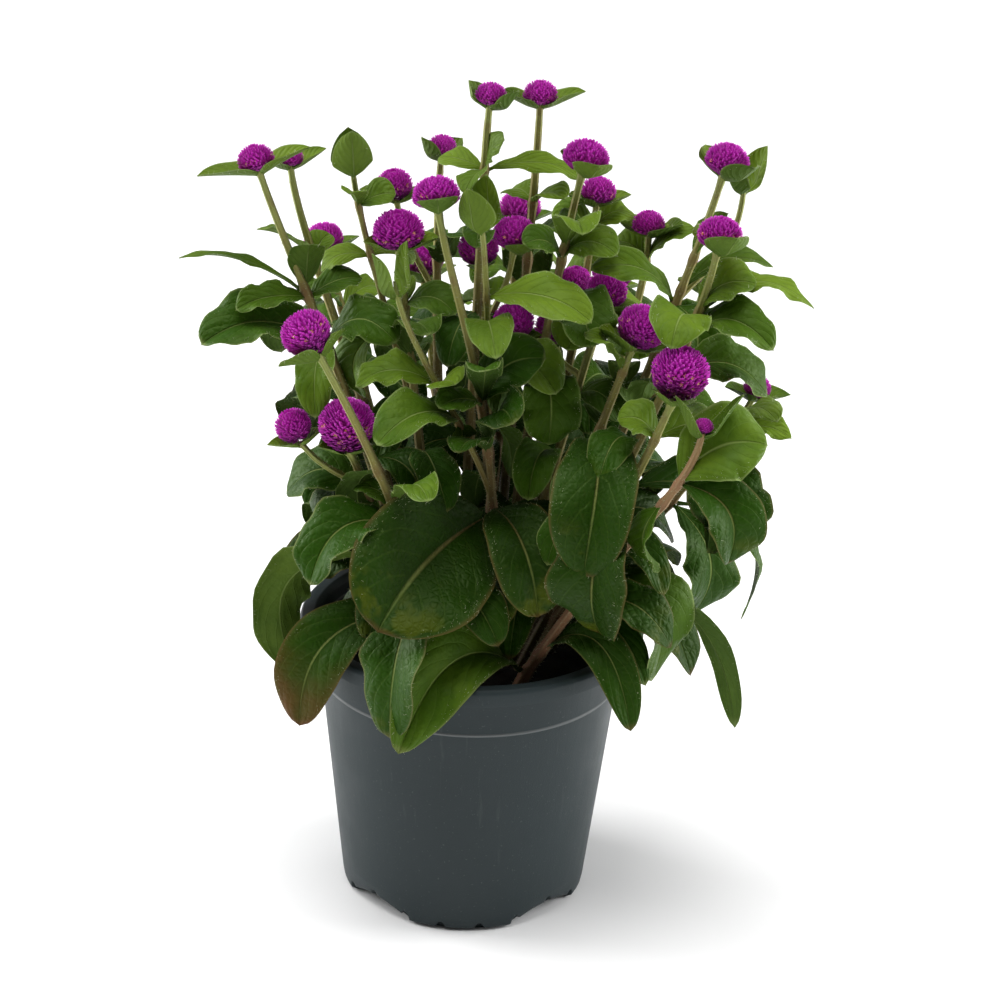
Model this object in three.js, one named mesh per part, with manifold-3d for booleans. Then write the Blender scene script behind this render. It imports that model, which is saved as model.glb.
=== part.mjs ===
import * as THREE from "three";
import { ConvexGeometry } from "three/addons/geometries/ConvexGeometry.js";
import { mergeVertices } from "three/addons/utils/BufferGeometryUtils.js";
import Module from "manifold-3d";

const wasm = await Module();
wasm.setup();

// Driving dimensions in millimetres. The pot stands on z = 0 round the z axis, and -y is its front.
const POT_HEIGHT = 120;
const RIM_RADIUS = 70;
const FOOT_RADIUS = 50.5;
const WALL = 1.5;
const SOIL_LEVEL = 100;
const STEM_DEPTH = 17;
const GAP = 0.3;
const BLADE_HALF_THICKNESS = 0.6;
const LEAF_FOLD = 0.2;
const BRACT_FOLD = 0.4;
const BLADE_CLEARANCE = 0.35;
const FLORETS_PER_HEAD = 16;

// Hand-made layout of the plant, read off the photograph. A course runs from the foot (x, y) in the soil
// over a knee and a neck to the middle of the flower head. A bloom is the head's width (0 is a green bud),
// then the turn in degrees, length and closure of the two bracts below it, and the head's depth as a share
// of its radius. A leaf is its place along the stem (0 to 1), the way from there to its tip (x, y, z), its
// width, its arch and its roll in degrees.
const LAYOUT = {
  stem_01: {
    course: [[-7, 5], [0, 5, 242], [-2, 5, 316], [1, 5, 337]],
    bloom: [13, -25, 15, 1, 0.4],
    leaves: [
      [0.73, 38, 8, -2, 8, 0.1, 0], [0.73, -18, 10, 2, 9, 0.1, 0], [0.73, 7, -10, 16, 9, 0.1, 60],
      [0.73, -7, -18, -3, 9, 0.1, 30], [0.58, -11, 24, -17, 14, 0.2, 0], [0.58, 17, -20, 0, 14, 0.2, 0],
    ],
  },
  stem_02: {
    course: [[6, 10], [16, 15, 239], [20, 20, 300], [20, 20, 334]],
    bloom: [14, 5, 16, 0.4, 0.4],
    leaves: [
      [0.68, -10, 15, 0, 12, 0.15, 0], [0.68, 12, -13, 7, 12, 0.15, 0], [0.56, 2, 33, -21, 16, 0.2, 0],
      [0.56, 13, -37, 10, 14, 0.2, 0],
    ],
  },
  stem_03: {
    course: [[-16, 2], [-32, -8, 186], [-77, -5, 273], [-88, -5, 311]],
    bloom: [15, 185, 20, 0.1, 0.4],
    leaves: [
      [0.67, -48, -3, 17, 6, 0.08, 20], [0.68, 2, -7, 21, 12, 0.1, 10], [0.66, -27, -13, 0, 10, 0.1, 0],
      [0.66, 20, 5, 8, 11, 0.1, 0], [0.57, -47, -17, 8, 19, 0.12, -5],
      [0.57, 27, -13, 9, 16, 0.25, 20], [0.56, -25, -34, -5, 15, 0.3, 10],
    ],
  },
  stem_04: {
    course: [[-14, 10], [-35, 15, 194], [-76, 20, 274], [-77, 20, 305]],
    bloom: [11, 20, 14, 0.5, 0.4],
    leaves: [
      [0.7, -22, -5, 14, 12, 0.1, 40], [0.7, 5, 7, 9, 9, 0.1, 0], [0.55, -27, 43, -23, 20, 0.2, 0],
      [0.55, 18, -21, 9, 16, 0.2, 0], [0.42, -27, 34, -28, 24, 0.3, 0],
    ],
  },
  stem_05: {
    course: [[-8, 16], [-19, 30, 211], [-20, 36, 281], [-18, 36, 307]],
    bloom: [12, 215, 14, 1, 0.5],
    leaves: [
      [0.64, -10, 26, 0, 13, 0.2, 0], [0.64, 13, 10, -3, 13, 0.2, 0], [0.49, -16, 35, -20, 20, 0.2, 0],
      [0.49, 17, 9, -9, 16, 0.2, 0],
    ],
    twigs: [
      {
        from: 0.55,
        course: [[-33, 28, 267], [-36, 25, 294]],
        bloom: [15, 170, 13, 0.2, 0.7],
        leaves: [],
      },
    ],
  },
  stem_06: {
    course: [[-4, -9], [26, -22, 190], [-13, -32, 267], [-18, -27, 306]],
    bloom: [19, -85, 15, 1.05, 0.4],
    leaves: [
      [0.51, -16, -19, 7, 11, 0.1, 0], [0.51, 23, -5, 23, 17, 0.15, 30], [0.51, 1, -39, 30, 11, 0.1, 0],
      [0.49, 16, 33, -26, 11, 0.1, 0], [0.42, -11, -29, 13, 12, 0.12, 20],
      [0.42, 9, -35, 28, 15, 0.2, 30], [0.17, 2, -36, 4, 23, 0.25, 0],
      [0.31, -42, -62, -22, 42, 0.08, -30], [0.32, 20, -40, -26, 24, 0.25, 0],
    ],
    twigs: [
      {
        from: 0.34,
        course: [[-29, -36, 250], [-33, -35, 275]],
        bloom: [0, 20, 20, 1.2, 1],
        leaves: [
          [0.51, 7, -14, 5, 13, 0.1, 10], [0.51, -32, 0, 1, 13, 0.15, 0],
          [0.35, -30, -30, 4, 17, 0.2, 0], [0.35, 7, -4, -9, 16, 0.2, 20],
        ],
      },
    ],
  },
  stem_07: {
    course: [[-10, -4], [-23, -6, 207], [-31, 0, 255], [-33, -2, 283]],
    bloom: [21, 0, 14, 0.3, 0.5],
    leaves: [
      [0.72, -21, 11, -3, 15, 0.2, 0], [0.72, 20, -9, 1, 15, 0.2, 0], [0.56, 2, -38, 19, 16, 0.25, 0],
      [0.56, -17, 28, -14, 18, 0.2, 0],
    ],
    twigs: [
      {
        from: 0.4,
        course: [[-50, 5, 284], [-52, 5, 310]],
        bloom: [0, -80, 19, 1.25, 1],
        leaves: [
          [0.8, -3, -14, 10, 8, 0.1, 0], [0.8, 14, 0, 6, 11, 0.1, 0], [0.62, -20, 2, -6, 9, 0.15, 0],
          [0.62, 15, 20, -7, 13, 0.15, 0], [0.39, -24, -12, -23, 18, 0.3, 0],
        ],
      },
    ],
  },
  stem_08: {
    course: [[2, 0], [9, 11, 205], [0, 19, 250], [-2, 20, 271]],
    bloom: [17, 90, 13, 0.05, 0.8],
    leaves: [
      [0.75, -12, 13, -16, 14, 0.2, 0], [0.75, 16, 17, -5, 14, 0.2, 0], [0.56, -8, -24, 6, 18, 0.3, 0],
    ],
    twigs: [
      {
        from: 0.64,
        course: [[12, 0, 261], [12, 0, 283]],
        bloom: [18, -60, 14, 0.6, 0.5],
        leaves: [],
      },
      {
        from: 0.51,
        course: [[13, -2, 228], [13, -1, 248]],
        bloom: [17, 0, 10, 0.1, 0.8],
        leaves: [],
      },
      {
        from: 0.38,
        course: [[3, -34, 273], [-1, -32, 301]],
        bloom: [0, 60, 20, 1.2, 1],
        leaves: [
          [0.48, -11, -41, 8, 14, 0.2, 0], [0.64, 40, -18, 0, 17, 0.14, 0],
          [0.35, 24, -29, 6, 20, 0.2, 0],
        ],
      },
    ],
  },
  stem_09: {
    course: [[8, 1], [21, 0, 224], [32, -6, 288], [38, -5, 316]],
    bloom: [19, -70, 16, 0.95, 0.4],
    leaves: [
      [0.67, -20, -10, 2, 14, 0.2, 0], [0.67, 22, -6, 8, 14, 0.25, 0], [0.7, 6, -30, 17, 14, 0.2, 0],
      [0.58, 15, -23, -10, 20, 0.25, 0], [0.58, -20, 23, -18, 18, 0.2, 0],
      [0.46, 4, -20, -27, 18, 0.3, 0],
    ],
  },
  stem_10: {
    course: [[10, 16], [37, 30, 204], [43, 44, 264], [45, 45, 288]],
    bloom: [15, 20, 13, 0.3, 0.5],
    leaves: [
      [0.82, 17, 7, 7, 12, 0.2, 0], [0.82, -16, -3, 7, 12, 0.2, 0], [0.69, 20, 23, -1, 16, 0.2, 0],
      [0.69, -11, 19, -13, 16, 0.2, 0], [0.53, 24, 14, -8, 20, 0.2, 0],
      [0.53, -11, 30, -16, 20, 0.2, 0],
    ],
    twigs: [
      {
        from: 0.55,
        course: [[37, 32, 238], [37, 30, 255]],
        bloom: [14, 0, 11, 0.1, 0.7],
        leaves: [],
      },
    ],
  },
  stem_11: {
    course: [[16, 3], [54, 0, 191], [83, -6, 276], [92, -5, 317]],
    bloom: [18, -50, 17, 0.85, 0.45],
    leaves: [
      [0.75, 12, 3, 18, 9, 0.1, 0], [0.65, -27, -6, 35, 14, 0.2, 0], [0.65, 0, -20, -23, 24, 0.3, 0],
      [0.68, 36, 14, 8, 9, 0.15, 0], [0.56, 26, -17, 15, 22, 0.3, 0],
      [0.56, -14, 23, -10, 18, 0.2, 0],
    ],
    twigs: [
      {
        from: 0.66,
        course: [[101, 16, 272], [101, 14, 306]],
        bloom: [0, 30, 18, 1, 1],
        leaves: [],
      },
    ],
  },
  stem_12: {
    course: [[13, -9], [58, -22, 196], [86, -38, 261], [89, -35, 297]],
    bloom: [18, -70, 17, 0.8, 0.5],
    leaves: [
      [0.77, 21, 0, 12, 16, 0.2, 0], [0.75, 44, -6, 6, 10, 0.25, -15], [0.72, -9, -26, 3, 18, 0.3, 0],
      [0.68, 32, -17, 6, 15, 0.3, 0], [0.58, 39, 0, -1, 18, 0.3, 0], [0.58, -9, 20, -14, 18, 0.2, 0],
      [0.16, 75, -29, -36, 12, 0.35, 0],
    ],
  },
  stem_13: {
    course: [[14, 14], [50, 30, 196], [69, 46, 247], [66, 45, 275]],
    bloom: [14, -30, 15, 0.5, 0.4],
    leaves: [
      [0.84, 16, -4, 19, 10, 0.15, 0], [0.84, -14, 8, 6, 12, 0.2, 0], [0.62, 26, 26, -3, 20, 0.2, 0],
      [0.62, 4, -20, -1, 18, 0.2, 0], [0.46, 20, 36, -22, 26, 0.3, 0],
    ],
  },
  stem_14: {
    course: [[7, -4], [30, -8, 189], [44, 4, 236], [49, 5, 260]],
    bloom: [17, 0, 13, 0.1, 0.7],
    leaves: [
      [0.82, 19, 16, 6, 15, 0.2, 0], [0.82, -14, -14, -2, 16, 0.2, 0], [0.59, 19, 30, -16, 20, 0.3, 0],
      [0.59, -8, -36, 5, 20, 0.3, 0],
    ],
    twigs: [
      {
        from: 0.65,
        course: [[31, 10, 222], [29, 10, 242]],
        bloom: [16, 0, 11, 0.1, 0.7],
        leaves: [],
      },
    ],
  },
  stem_15: {
    course: [[12, -5], [40, -16, 184], [54, -26, 235], [62, -25, 256]],
    bloom: [20, 200, 15, 0.05, 0.8],
    leaves: [
      [0.78, -10, -10, 25, 10, 0.1, 0], [0.78, 19, 18, -22, 14, 0.2, 0],
      [0.55, -4, -52, -34, 25, 0.3, 0], [0.58, 26, 17, -10, 20, 0.2, 0],
    ],
  },
  stem_16: {
    course: [[16, -14], [50, -42, 178], [71, -56, 221], [76, -55, 249]],
    bloom: [23, -100, 16, 0.1, 0.88],
    leaves: [
      [0.72, -14, 2, 8, 14, 0.2, 0], [0.72, 31, 22, -12, 20, 0.2, 0], [0.55, 35, 17, -30, 22, 0.3, 0],
      [0.5, -17, -39, -42, 29, 0.4, 0], [0.2, 35, -33, -11, 10, 0.3, 0],
      [0.27, 30, -23, -29, 24, 0.5, 0], [0.34, 7, -50, -11, 16, 0.4, 0],
    ],
  },
  stem_17: {
    course: [[12, -22], [49, -62, 181], [83, -74, 206], [85, -70, 234]],
    bloom: [8, 10, 20, 0.9, 0.5],
    leaves: [
      [0.73, 32, 4, 17, 24, 0.2, 20], [0.73, 21, -11, -26, 19, 0.3, 20], [0.64, -7, -3, -24, 16, 0.3, 0],
      [0.1, -49, -50, -7, 21, 0.31, 0], [0.15, 36, -40, -10, 13, 0.4, 20],
    ],
  },
  stem_18: {
    course: [[-9, -15], [-15, -50, 167], [-47, -56, 230], [-65, -48, 257]],
    bloom: [20, 200, 14, 0.1, 0.85],
    leaves: [
      [0.42, -35, -21, -13, 19, 0.3, 0], [0.48, 14, -38, 22, 12, 0.1, 0],
      [0.57, -11, 19, -30, 17, 0.4, 0],
      [0.25, -12, -45, -36, 22, 0.35, 30], [0.22, -51, -16, -42, 21, 0.3, 0],
    ],
  },
  stem_19: {
    course: [[-16, -6], [-29, -24, 163], [-48, -36, 193], [-50, -37, 216]],
    bloom: [23, 0, 12, 0.1, 0.88],
    leaves: [
      [0.6, -41, -9, 13, 24, 0.3, 0], [0.58, -26, -14, -16, 28, 0.4, 0],
      [0.56, -49, 20, -12, 18, 0.3, 0], [0.38, -40, -8, -46, 20, 0.42, 60],
    ],
    twigs: [
      {
        from: 0.65,
        course: [[-64, -32, 195], [-71, -32, 213]],
        bloom: [15, 180, 11, 0.1, 0.88],
        leaves: [],
      },
    ],
  },
  stem_20: {
    course: [[21, 5], [67, 6, 162], [106, 20, 193], [112, 20, 216]],
    bloom: [12, 20, 14, 0.1, 0.6],
    leaves: [
      [0.76, 24, -8, 2, 9, 0.1, 0], [0.72, 17, -37, 26, 13, 0.15, 0],
      [0.59, 15, -29, -20, 26, 0.3, 0], [0.48, 13, -13, -43, 20, 0.3, 0],
      [0.48, 35, 7, -53, 9, 0.3, 0],
    ],
  },
  stem_21: {
    course: [[-17, 15], [-34, 34, 170], [-60, 58, 232], [-66, 62, 258]],
    bloom: [17, 30, 14, 0.15, 0.6],
  },
  stem_22: {
    course: [[-5, 22], [-12, 44, 165], [-24, 78, 222], [-26, 84, 244]],
    bloom: [19, 30, 14, 0.15, 0.8],
  },
  stem_23: {
    course: [[3, 19], [8, 40, 190], [14, 66, 246], [14, 70, 272]],
    bloom: [18, 30, 14, 0.15, 0.5],
  },
  stem_24: {
    course: [[12, 23], [30, 52, 160], [50, 86, 216], [54, 92, 238]],
    bloom: [18, 30, 14, 0.15, 0.7],
  },
  stem_25: {
    course: [[21, 14], [54, 34, 170], [88, 58, 224], [92, 62, 248]],
    bloom: [16, 30, 14, 0.15, 0.6],
  },
};

const UP = new THREE.Vector3(0, 0, 1);
const vector = ([x, y, z]) => new THREE.Vector3(x, y, z);
const along = (point, direction, distance) => point.clone().addScaledVector(direction, distance);
const radians = THREE.MathUtils.degToRad;
const lerp = THREE.MathUtils.lerp;

// A solid from shared points and triangles that face outward.
function solidOf(points, triangles) {
  const vertProperties = new Float32Array(points.flatMap((point) => point.toArray()));
  const triVerts = new Uint32Array(triangles.flat());
  return new wasm.Manifold(new wasm.Mesh({ numProp: 3, vertProperties, triVerts }));
}

function solidOfGeometry(geometry) {
  const bare = new THREE.BufferGeometry();
  bare.setAttribute("position", geometry.getAttribute("position"));
  bare.setIndex(geometry.getIndex());
  const merged = mergeVertices(bare, 1e-3);
  const vertProperties = new Float32Array(merged.getAttribute("position").array);
  const kept = [];
  const index = merged.getIndex().array;
  for (let i = 0; i < index.length; i += 3) {
    const [a, b, c] = index.slice(i, i + 3);
    if (a !== b && b !== c && c !== a) kept.push(a, b, c);
  }
  return new wasm.Manifold(new wasm.Mesh({ numProp: 3, vertProperties, triVerts: new Uint32Array(kept) }));
}

function geometryOf(solid) {
  const mesh = solid.getMesh();
  const geometry = new THREE.BufferGeometry();
  geometry.setAttribute("position", new THREE.BufferAttribute(new Float32Array(mesh.vertProperties), 3));
  geometry.setIndex(new THREE.BufferAttribute(new Uint32Array(mesh.triVerts), 1));
  geometry.computeVertexNormals();
  return geometry;
}

// A closed solid through rings of points that turn left about the way they follow. Either end may be one
// point. The quads' diagonals alternate, so that the two faces of a folded blade are split alike.
function loft(rings) {
  const triangles = [];
  let start = 0;
  for (let i = 0; i + 1 < rings.length; i += 1) {
    const next = start + rings[i].length;
    const sides = Math.max(rings[i].length, rings[i + 1].length);
    for (let j = 0; j < sides; j += 1) {
      const k = (j + 1) % sides;
      if (rings[i].length === 1) {
        triangles.push([start, next + k, next + j]);
      } else if (rings[i + 1].length === 1) {
        triangles.push([start + j, start + k, next]);
      } else if (j % 2 === 0) {
        triangles.push([start + j, start + k, next + k], [start + j, next + k, next + j]);
      } else {
        triangles.push([start + j, start + k, next + j], [start + k, next + k, next + j]);
      }
    }
    start = next;
  }
  for (let j = 1; j + 1 < rings[0].length; j += 1) triangles.push([0, j + 1, j]);
  for (let j = 1; j + 1 < rings.at(-1).length; j += 1) triangles.push([start, start + j, start + j + 1]);
  const points = rings.flat();
  return { points, solid: solidOf(points, triangles) };
}

// A round bar through centres with a direction and a radius each.
function bar(stations, sides) {
  const rings = stations.map(({ centre, direction, radius }) => {
    const across = new THREE.Vector3(1, 0, 0).addScaledVector(direction, -direction.x).normalize();
    const back = direction.clone().cross(across);
    return Array.from({ length: sides }, (_, k) => {
      const turn = (2 * Math.PI * k) / sides;
      return along(along(centre, across, radius * Math.cos(turn)), back, radius * Math.sin(turn));
    });
  });
  return loft(rings);
}

// A leaf blade with sharp margins, which starts at a point sunk in the stem and ends in a point. It is
// folded up along its midrib, or where it is small, keeled below and flat above.
function blade(root, stations, tip, side, fold, folded, extra) {
  const rings = stations.map(({ centre, direction, halfWidth }) => {
    const top = direction.clone().cross(side).normalize();
    const lifted = along(centre, top, fold * halfWidth);
    const reach = halfWidth + extra;
    const half = BLADE_HALF_THICKNESS + extra;
    const middle = folded ? [along(centre, top, half)] : [];
    return [along(lifted, side, reach), ...middle, along(lifted, side, -reach), along(centre, top, -half)];
  });
  return loft([[root], ...rings, [along(tip, stations.at(-1).direction, extra)]]);
}

// Leaves: an arched midrib from the middle of the stem to the tip, widest a little past the middle. A leaf
// that points sideways turns its face to the front.
const LONG_LEAF = 33;
const FACING = 30;
const LONG_OUTLINE = [[0.26, 0.58], [0.58, 1], [0.86, 0.7]];
const SHORT_OUTLINE = [[0.34, 0.78], [0.74, 0.88]];
const ROOT_DEPTH = 0.8;
const LEAF_BREADTH = 1.4;

function leaf(base, reach, width, arch, roll, extra) {
  const length = reach.length();
  const way = reach.clone().normalize();
  const side = UP.clone().cross(way).normalize();
  const top = way.clone().cross(side);
  const tip = base.clone().add(reach);
  const crown = along(along(base, way, length / 2), top, 2 * arch * length);
  const midrib = new THREE.QuadraticBezierCurve3(base, crown, tip);
  side.applyAxisAngle(way, radians(roll + FACING * way.x));
  const long = length > LONG_LEAF;
  const outline = long ? LONG_OUTLINE : SHORT_OUTLINE;
  const stations = outline.map(([t, share]) => ({
    centre: midrib.getPoint(t),
    direction: midrib.getTangent(t),
    halfWidth: (share * LEAF_BREADTH * width) / 2,
  }));
  return blade(along(base, way, -ROOT_DEPTH), stations, tip, side, LEAF_FOLD, long, extra);
}

// Bracts: a broad cupped blade that hugs the underside of the head, then leaves it straight. Round a green
// bud the two are broader and close over it.
const BRACT_BREADTH = 0.95;
const BRACT_CROWDING = 1.9;
const BUD_CROWDING = 2.8;
const BRACT_CLEARANCE = 1.6;
const BRACT_STRETCH = 1.2;
const BRACT_STEP = 2;
const BRACT_REST = 3;
const BRACT_OUTLINE = [[0.5, 0.7], [1, 1]];
const OPEN_ANGLE = 20;
const CLOSING_ANGLE = 55;
const MOST_CLOSED = 1.5;

function bract({ centre, axis, radius, depth, green }, turn, length, closure, extra) {
  const ring = radius + BRACT_CLEARANCE;
  const below = depth * radius + BRACT_CLEARANCE;
  const out = new THREE.Vector3(Math.cos(turn), Math.sin(turn), 0);
  out.addScaledVector(axis, -out.dot(axis)).normalize();
  const side = axis.clone().cross(out);
  const open = radians(OPEN_ANGLE + CLOSING_ANGLE * closure);
  const spot = (angle) => along(along(centre, axis, -below * Math.cos(angle)), out, ring * Math.sin(angle));
  const heading = (angle) =>
    along(out.clone().multiplyScalar(ring * Math.cos(angle)), axis, below * Math.sin(angle)).normalize();
  const breadth = Math.min(BRACT_BREADTH * length, (green ? BUD_CROWDING : BRACT_CROWDING) * ring) / 2;
  const stations = BRACT_OUTLINE.map(([share, width]) => ({
    centre: spot(share * open),
    direction: heading(share * open),
    halfWidth: width * breadth,
  }));
  const rest = Math.max(BRACT_REST, length - ring * open);
  const tip = along(spot(open), heading(open), rest);
  return blade(along(spot(0), out, -ROOT_DEPTH), stations, tip, side, BRACT_FOLD, true, extra);
}

// Flower heads: pointed florets spread evenly over a globe, with valleys between them. A young head is
// flatter, and most of all below.
const VALLEY_SHARE = 0.8;
const FLORET_LIFT = 0.1;
const YOUNG_HEIGHT = 0.9;
const GOLDEN_TURN = Math.PI * (3 - Math.sqrt(5));

function flowerHead({ centre, axis, radius, depth }) {
  const tips = Array.from({ length: FLORETS_PER_HEAD }, (_, k) => {
    const height = 1 - (2 * k + 1) / FLORETS_PER_HEAD;
    const across = Math.sqrt(1 - height * height);
    return new THREE.Vector3(across * Math.cos(k * GOLDEN_TURN), across * Math.sin(k * GOLDEN_TURN), height);
  });
  tips.push(new THREE.Vector3(0, 0, -1));
  const hull = new ConvexGeometry(tips).getAttribute("position");
  const points = tips.map((tip) => along(tip, UP, FLORET_LIFT * (1 - tip.z * tip.z)));
  const triangles = [];
  for (let i = 0; i < hull.count; i += 3) {
    const corners = [0, 1, 2].map((j) => new THREE.Vector3().fromBufferAttribute(hull, i + j));
    const [a, b, c] = corners.map((corner) => tips.findIndex((tip) => tip.distanceTo(corner) < 1e-4));
    const valley = points.length;
    const middle = corners[0].clone().add(corners[1]).add(corners[2]).normalize();
    points.push(middle.multiplyScalar(VALLEY_SHARE));
    triangles.push([a, b, valley], [b, c, valley], [c, a, valley]);
  }
  const tilt = new THREE.Quaternion().setFromUnitVectors(UP, axis);
  const settled = points.map(({ x, y, z }) => {
    const height = z > 0 ? z * lerp(YOUNG_HEIGHT, 1, depth) : z * depth;
    return new THREE.Vector3(x, y, height).multiplyScalar(radius).applyQuaternion(tilt).add(centre);
  });
  return { points: settled, solid: solidOf(settled, triangles) };
}

// Stems and twigs: a smooth course that thins upward and flares under the flower head.
const BUD_RADIUS = 4.5;
const BUD_TIP = 0.5;
const FLARE_SHARE = 0.2;
const NECK_ROOM = 4;
const NECK_STEP = 0.01;
const STEM_SIDES = 4;
const STEM_RADII = [2.2, 1.4];
const STEM_STATIONS = 5;
const TWIG_RADII = [1.5, 1.2];
const TWIG_STATIONS = 5;
const TWIG_BEND = 0.3;

function branch(start, startControl, neck, end, bloomRow, [radiusLow, radiusHigh], steps) {
  const [headWidth, turn, length, closure, depth] = bloomRow;
  const curve = new THREE.CubicBezierCurve3(start, startControl, neck, end);
  const axis = end.clone().sub(neck).normalize();
  const green = headWidth === 0;
  const bloom = { centre: end, axis, radius: green ? BUD_RADIUS : headWidth / 2, depth, green };
  const seat = along(end, axis, green ? 0 : -(depth * bloom.radius + GAP));
  const flare = green ? BUD_TIP : Math.max(radiusHigh, FLARE_SHARE * bloom.radius);
  const room = bloom.radius + NECK_ROOM;
  let last = 1;
  while (curve.getPoint(last).distanceTo(seat) < room / 2 || curve.getPoint(last).distanceTo(end) < room) {
    last -= NECK_STEP;
  }
  const stations = Array.from({ length: steps }, (_, k) => {
    const t = (last * k) / (steps - 1);
    const radius = lerp(radiusLow, radiusHigh, t);
    return { centre: curve.getPoint(t), direction: curve.getTangent(t), radius };
  });
  stations.push({ centre: seat, direction: axis, radius: flare });
  return { curve, stations, bloom, turn: radians(turn), length, closure, ...bar(stations, STEM_SIDES) };
}

function mainStem({ course: [foot, knee, neck, end], bloom }) {
  const start = new THREE.Vector3(...foot, SOIL_LEVEL - STEM_DEPTH);
  return branch(start, vector(knee), vector(neck), vector(end), bloom, STEM_RADII, STEM_STATIONS);
}

function twig(parent, { from, course: [neck, end], bloom }) {
  const start = parent.curve.getPoint(from);
  const heading = vector(neck).sub(start).normalize().add(parent.curve.getTangent(from)).normalize();
  const control = along(start, heading, TWIG_BEND * start.distanceTo(vector(end)));
  return branch(start, control, vector(neck), vector(end), bloom, TWIG_RADII, TWIG_STATIONS);
}

// The stems that the front hides carry crossed pairs of leaves, each pair a quarter turn on from the last.
// A row is the place, length and rise.
const CROSSED_PAIRS = [[0.38, 38, -12], [0.56, 34, -4], [0.74, 24, 4]];
const FIRST_PAIR_TURN = Math.PI / 4;
const PAIR_BREADTH = 0.42;
const PAIR_ARCH = 0.2;

function crossedPairs() {
  return CROSSED_PAIRS.flatMap(([at, length, rise], k) =>
    [0, 1].map((half) => {
      const turn = FIRST_PAIR_TURN + Math.PI * (half + k / 2);
      const [x, y] = [length * Math.cos(turn), length * Math.sin(turn)];
      return [at, x, y, rise, PAIR_BREADTH * length, PAIR_ARCH, 0];
    }),
  );
}

// Broad old leaves near the foot of every stem, turned from the way that the stem leans, cover the soil
// and hang towards the rim, where the layout has no leaf. A row is the place, turn, length, rise, width
// and arch.
const BASAL_LEAVES = [[0.15, -35, 54, -10, 19, 0.4], [0.26, 45, 42, -4, 16, 0.3]];

function turnedLeaves({ course: [foot, knee] }, rows) {
  const lean = Math.atan2(knee[1] - foot[1], knee[0] - foot[0]);
  return rows.map(([at, turn, length, rise, width, arch]) => {
    const heading = lean + radians(turn);
    return [at, length * Math.cos(heading), length * Math.sin(heading), rise, width, arch, 0];
  });
}

// A pair of leaves half way up every front stem, across the way that it leans, closes the plant's middle.
const MIDDLE_LEAVES = [[0.37, 100, 36, -14, 14, 0.25], [0.45, -100, 34, -6, 13, 0.25]];

// Bends that clear a blade of its neighbours, tried in order: turn and lift in degrees, then shrink.
const BENDS = [
  [0, 0, 1], [10, 0, 1], [-10, 0, 1], [0, 8, 1], [0, -8, 1], [20, 0, 1], [-20, 0, 1], [0, 16, 1],
  [0, -16, 1], [12, 12, 0.9], [-12, 12, 0.9], [12, -12, 0.9], [-12, -12, 0.9], [30, 0, 0.85], [-30, 0, 0.85],
  [0, 26, 0.85], [0, -26, 0.85], [30, 20, 0.8], [-30, 20, 0.8], [30, -20, 0.8], [-30, -20, 0.8],
  [45, 10, 0.7], [-45, 10, 0.7], [60, -10, 0.65], [-60, -10, 0.65], [0, 38, 0.6], [0, -38, 0.6],
];

const placed = [];

function place(node, origin, { points, solid }) {
  placed.push({ node, origin, solid, box: new THREE.Box3().setFromPoints(points) });
}

// A blade may touch its own stem, and the blades that grow from the same point of it.
function isClear(origin, { points, solid }) {
  const box = new THREE.Box3().setFromPoints(points);
  const near = placed.filter((other) => !origin.skip.includes(other.origin) && box.intersectsBox(other.box));
  return near.every((other) => solid.intersect(other.solid).isEmpty());
}

function bend(reach, [turn, lift]) {
  const bent = reach.clone().applyAxisAngle(UP, radians(turn));
  return bent.applyAxisAngle(UP.clone().cross(bent).normalize(), -radians(lift));
}

function placeBlade(node, origin, make) {
  const fit = BENDS.find((row) => isClear(origin, make(row, BLADE_CLEARANCE)));
  if (fit) place(node, origin.name, make(fit, 0));
}

// The pot: a turned shell with a hooked rim over a shoulder. Its floor rises in four arches at the edge,
// with drain notches all round between wall and floor.
const POT_SIDES = 32;
const SHOULDER_RADIUS = 63.2;
const SHOULDER_HEIGHT = 112;
const RIM_EDGE = 113;
const RIM_FLOOR = 117;
const ARCH_HEIGHT = 5.6;
const ARCH_HALF_WIDTH = radians(21);
const ARCH_INNER = 42;
const ARCH_OUTER = 48;
const ARCH_TOP = 9;
const NOTCH_WIDTH = 4.5;
const NOTCH_HEIGHT = 2.6;
const NOTCH_TURNS = [9, 45, 81].map(radians);

const quarterAngle = (x, y) => {
  const turn = Math.atan2(y, x);
  return Math.abs(turn - (Math.floor(turn / (Math.PI / 2)) + 0.5) * (Math.PI / 2));
};

function archLift(x, y) {
  const spread = Math.max(0, 1 - (quarterAngle(x, y) / ARCH_HALF_WIDTH) ** 2);
  const inward = THREE.MathUtils.smoothstep(Math.hypot(x, y), ARCH_INNER, ARCH_OUTER);
  return ARCH_HEIGHT * spread * inward;
}

const wallRadius = (z) => FOOT_RADIUS + ((SHOULDER_RADIUS - FOOT_RADIUS) * z) / SHOULDER_HEIGHT;

function lathe(profile, sides) {
  const geometry = new THREE.LatheGeometry(profile.map(([r, z]) => new THREE.Vector2(r, z)), sides);
  return geometry.rotateX(Math.PI / 2);
}

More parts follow.
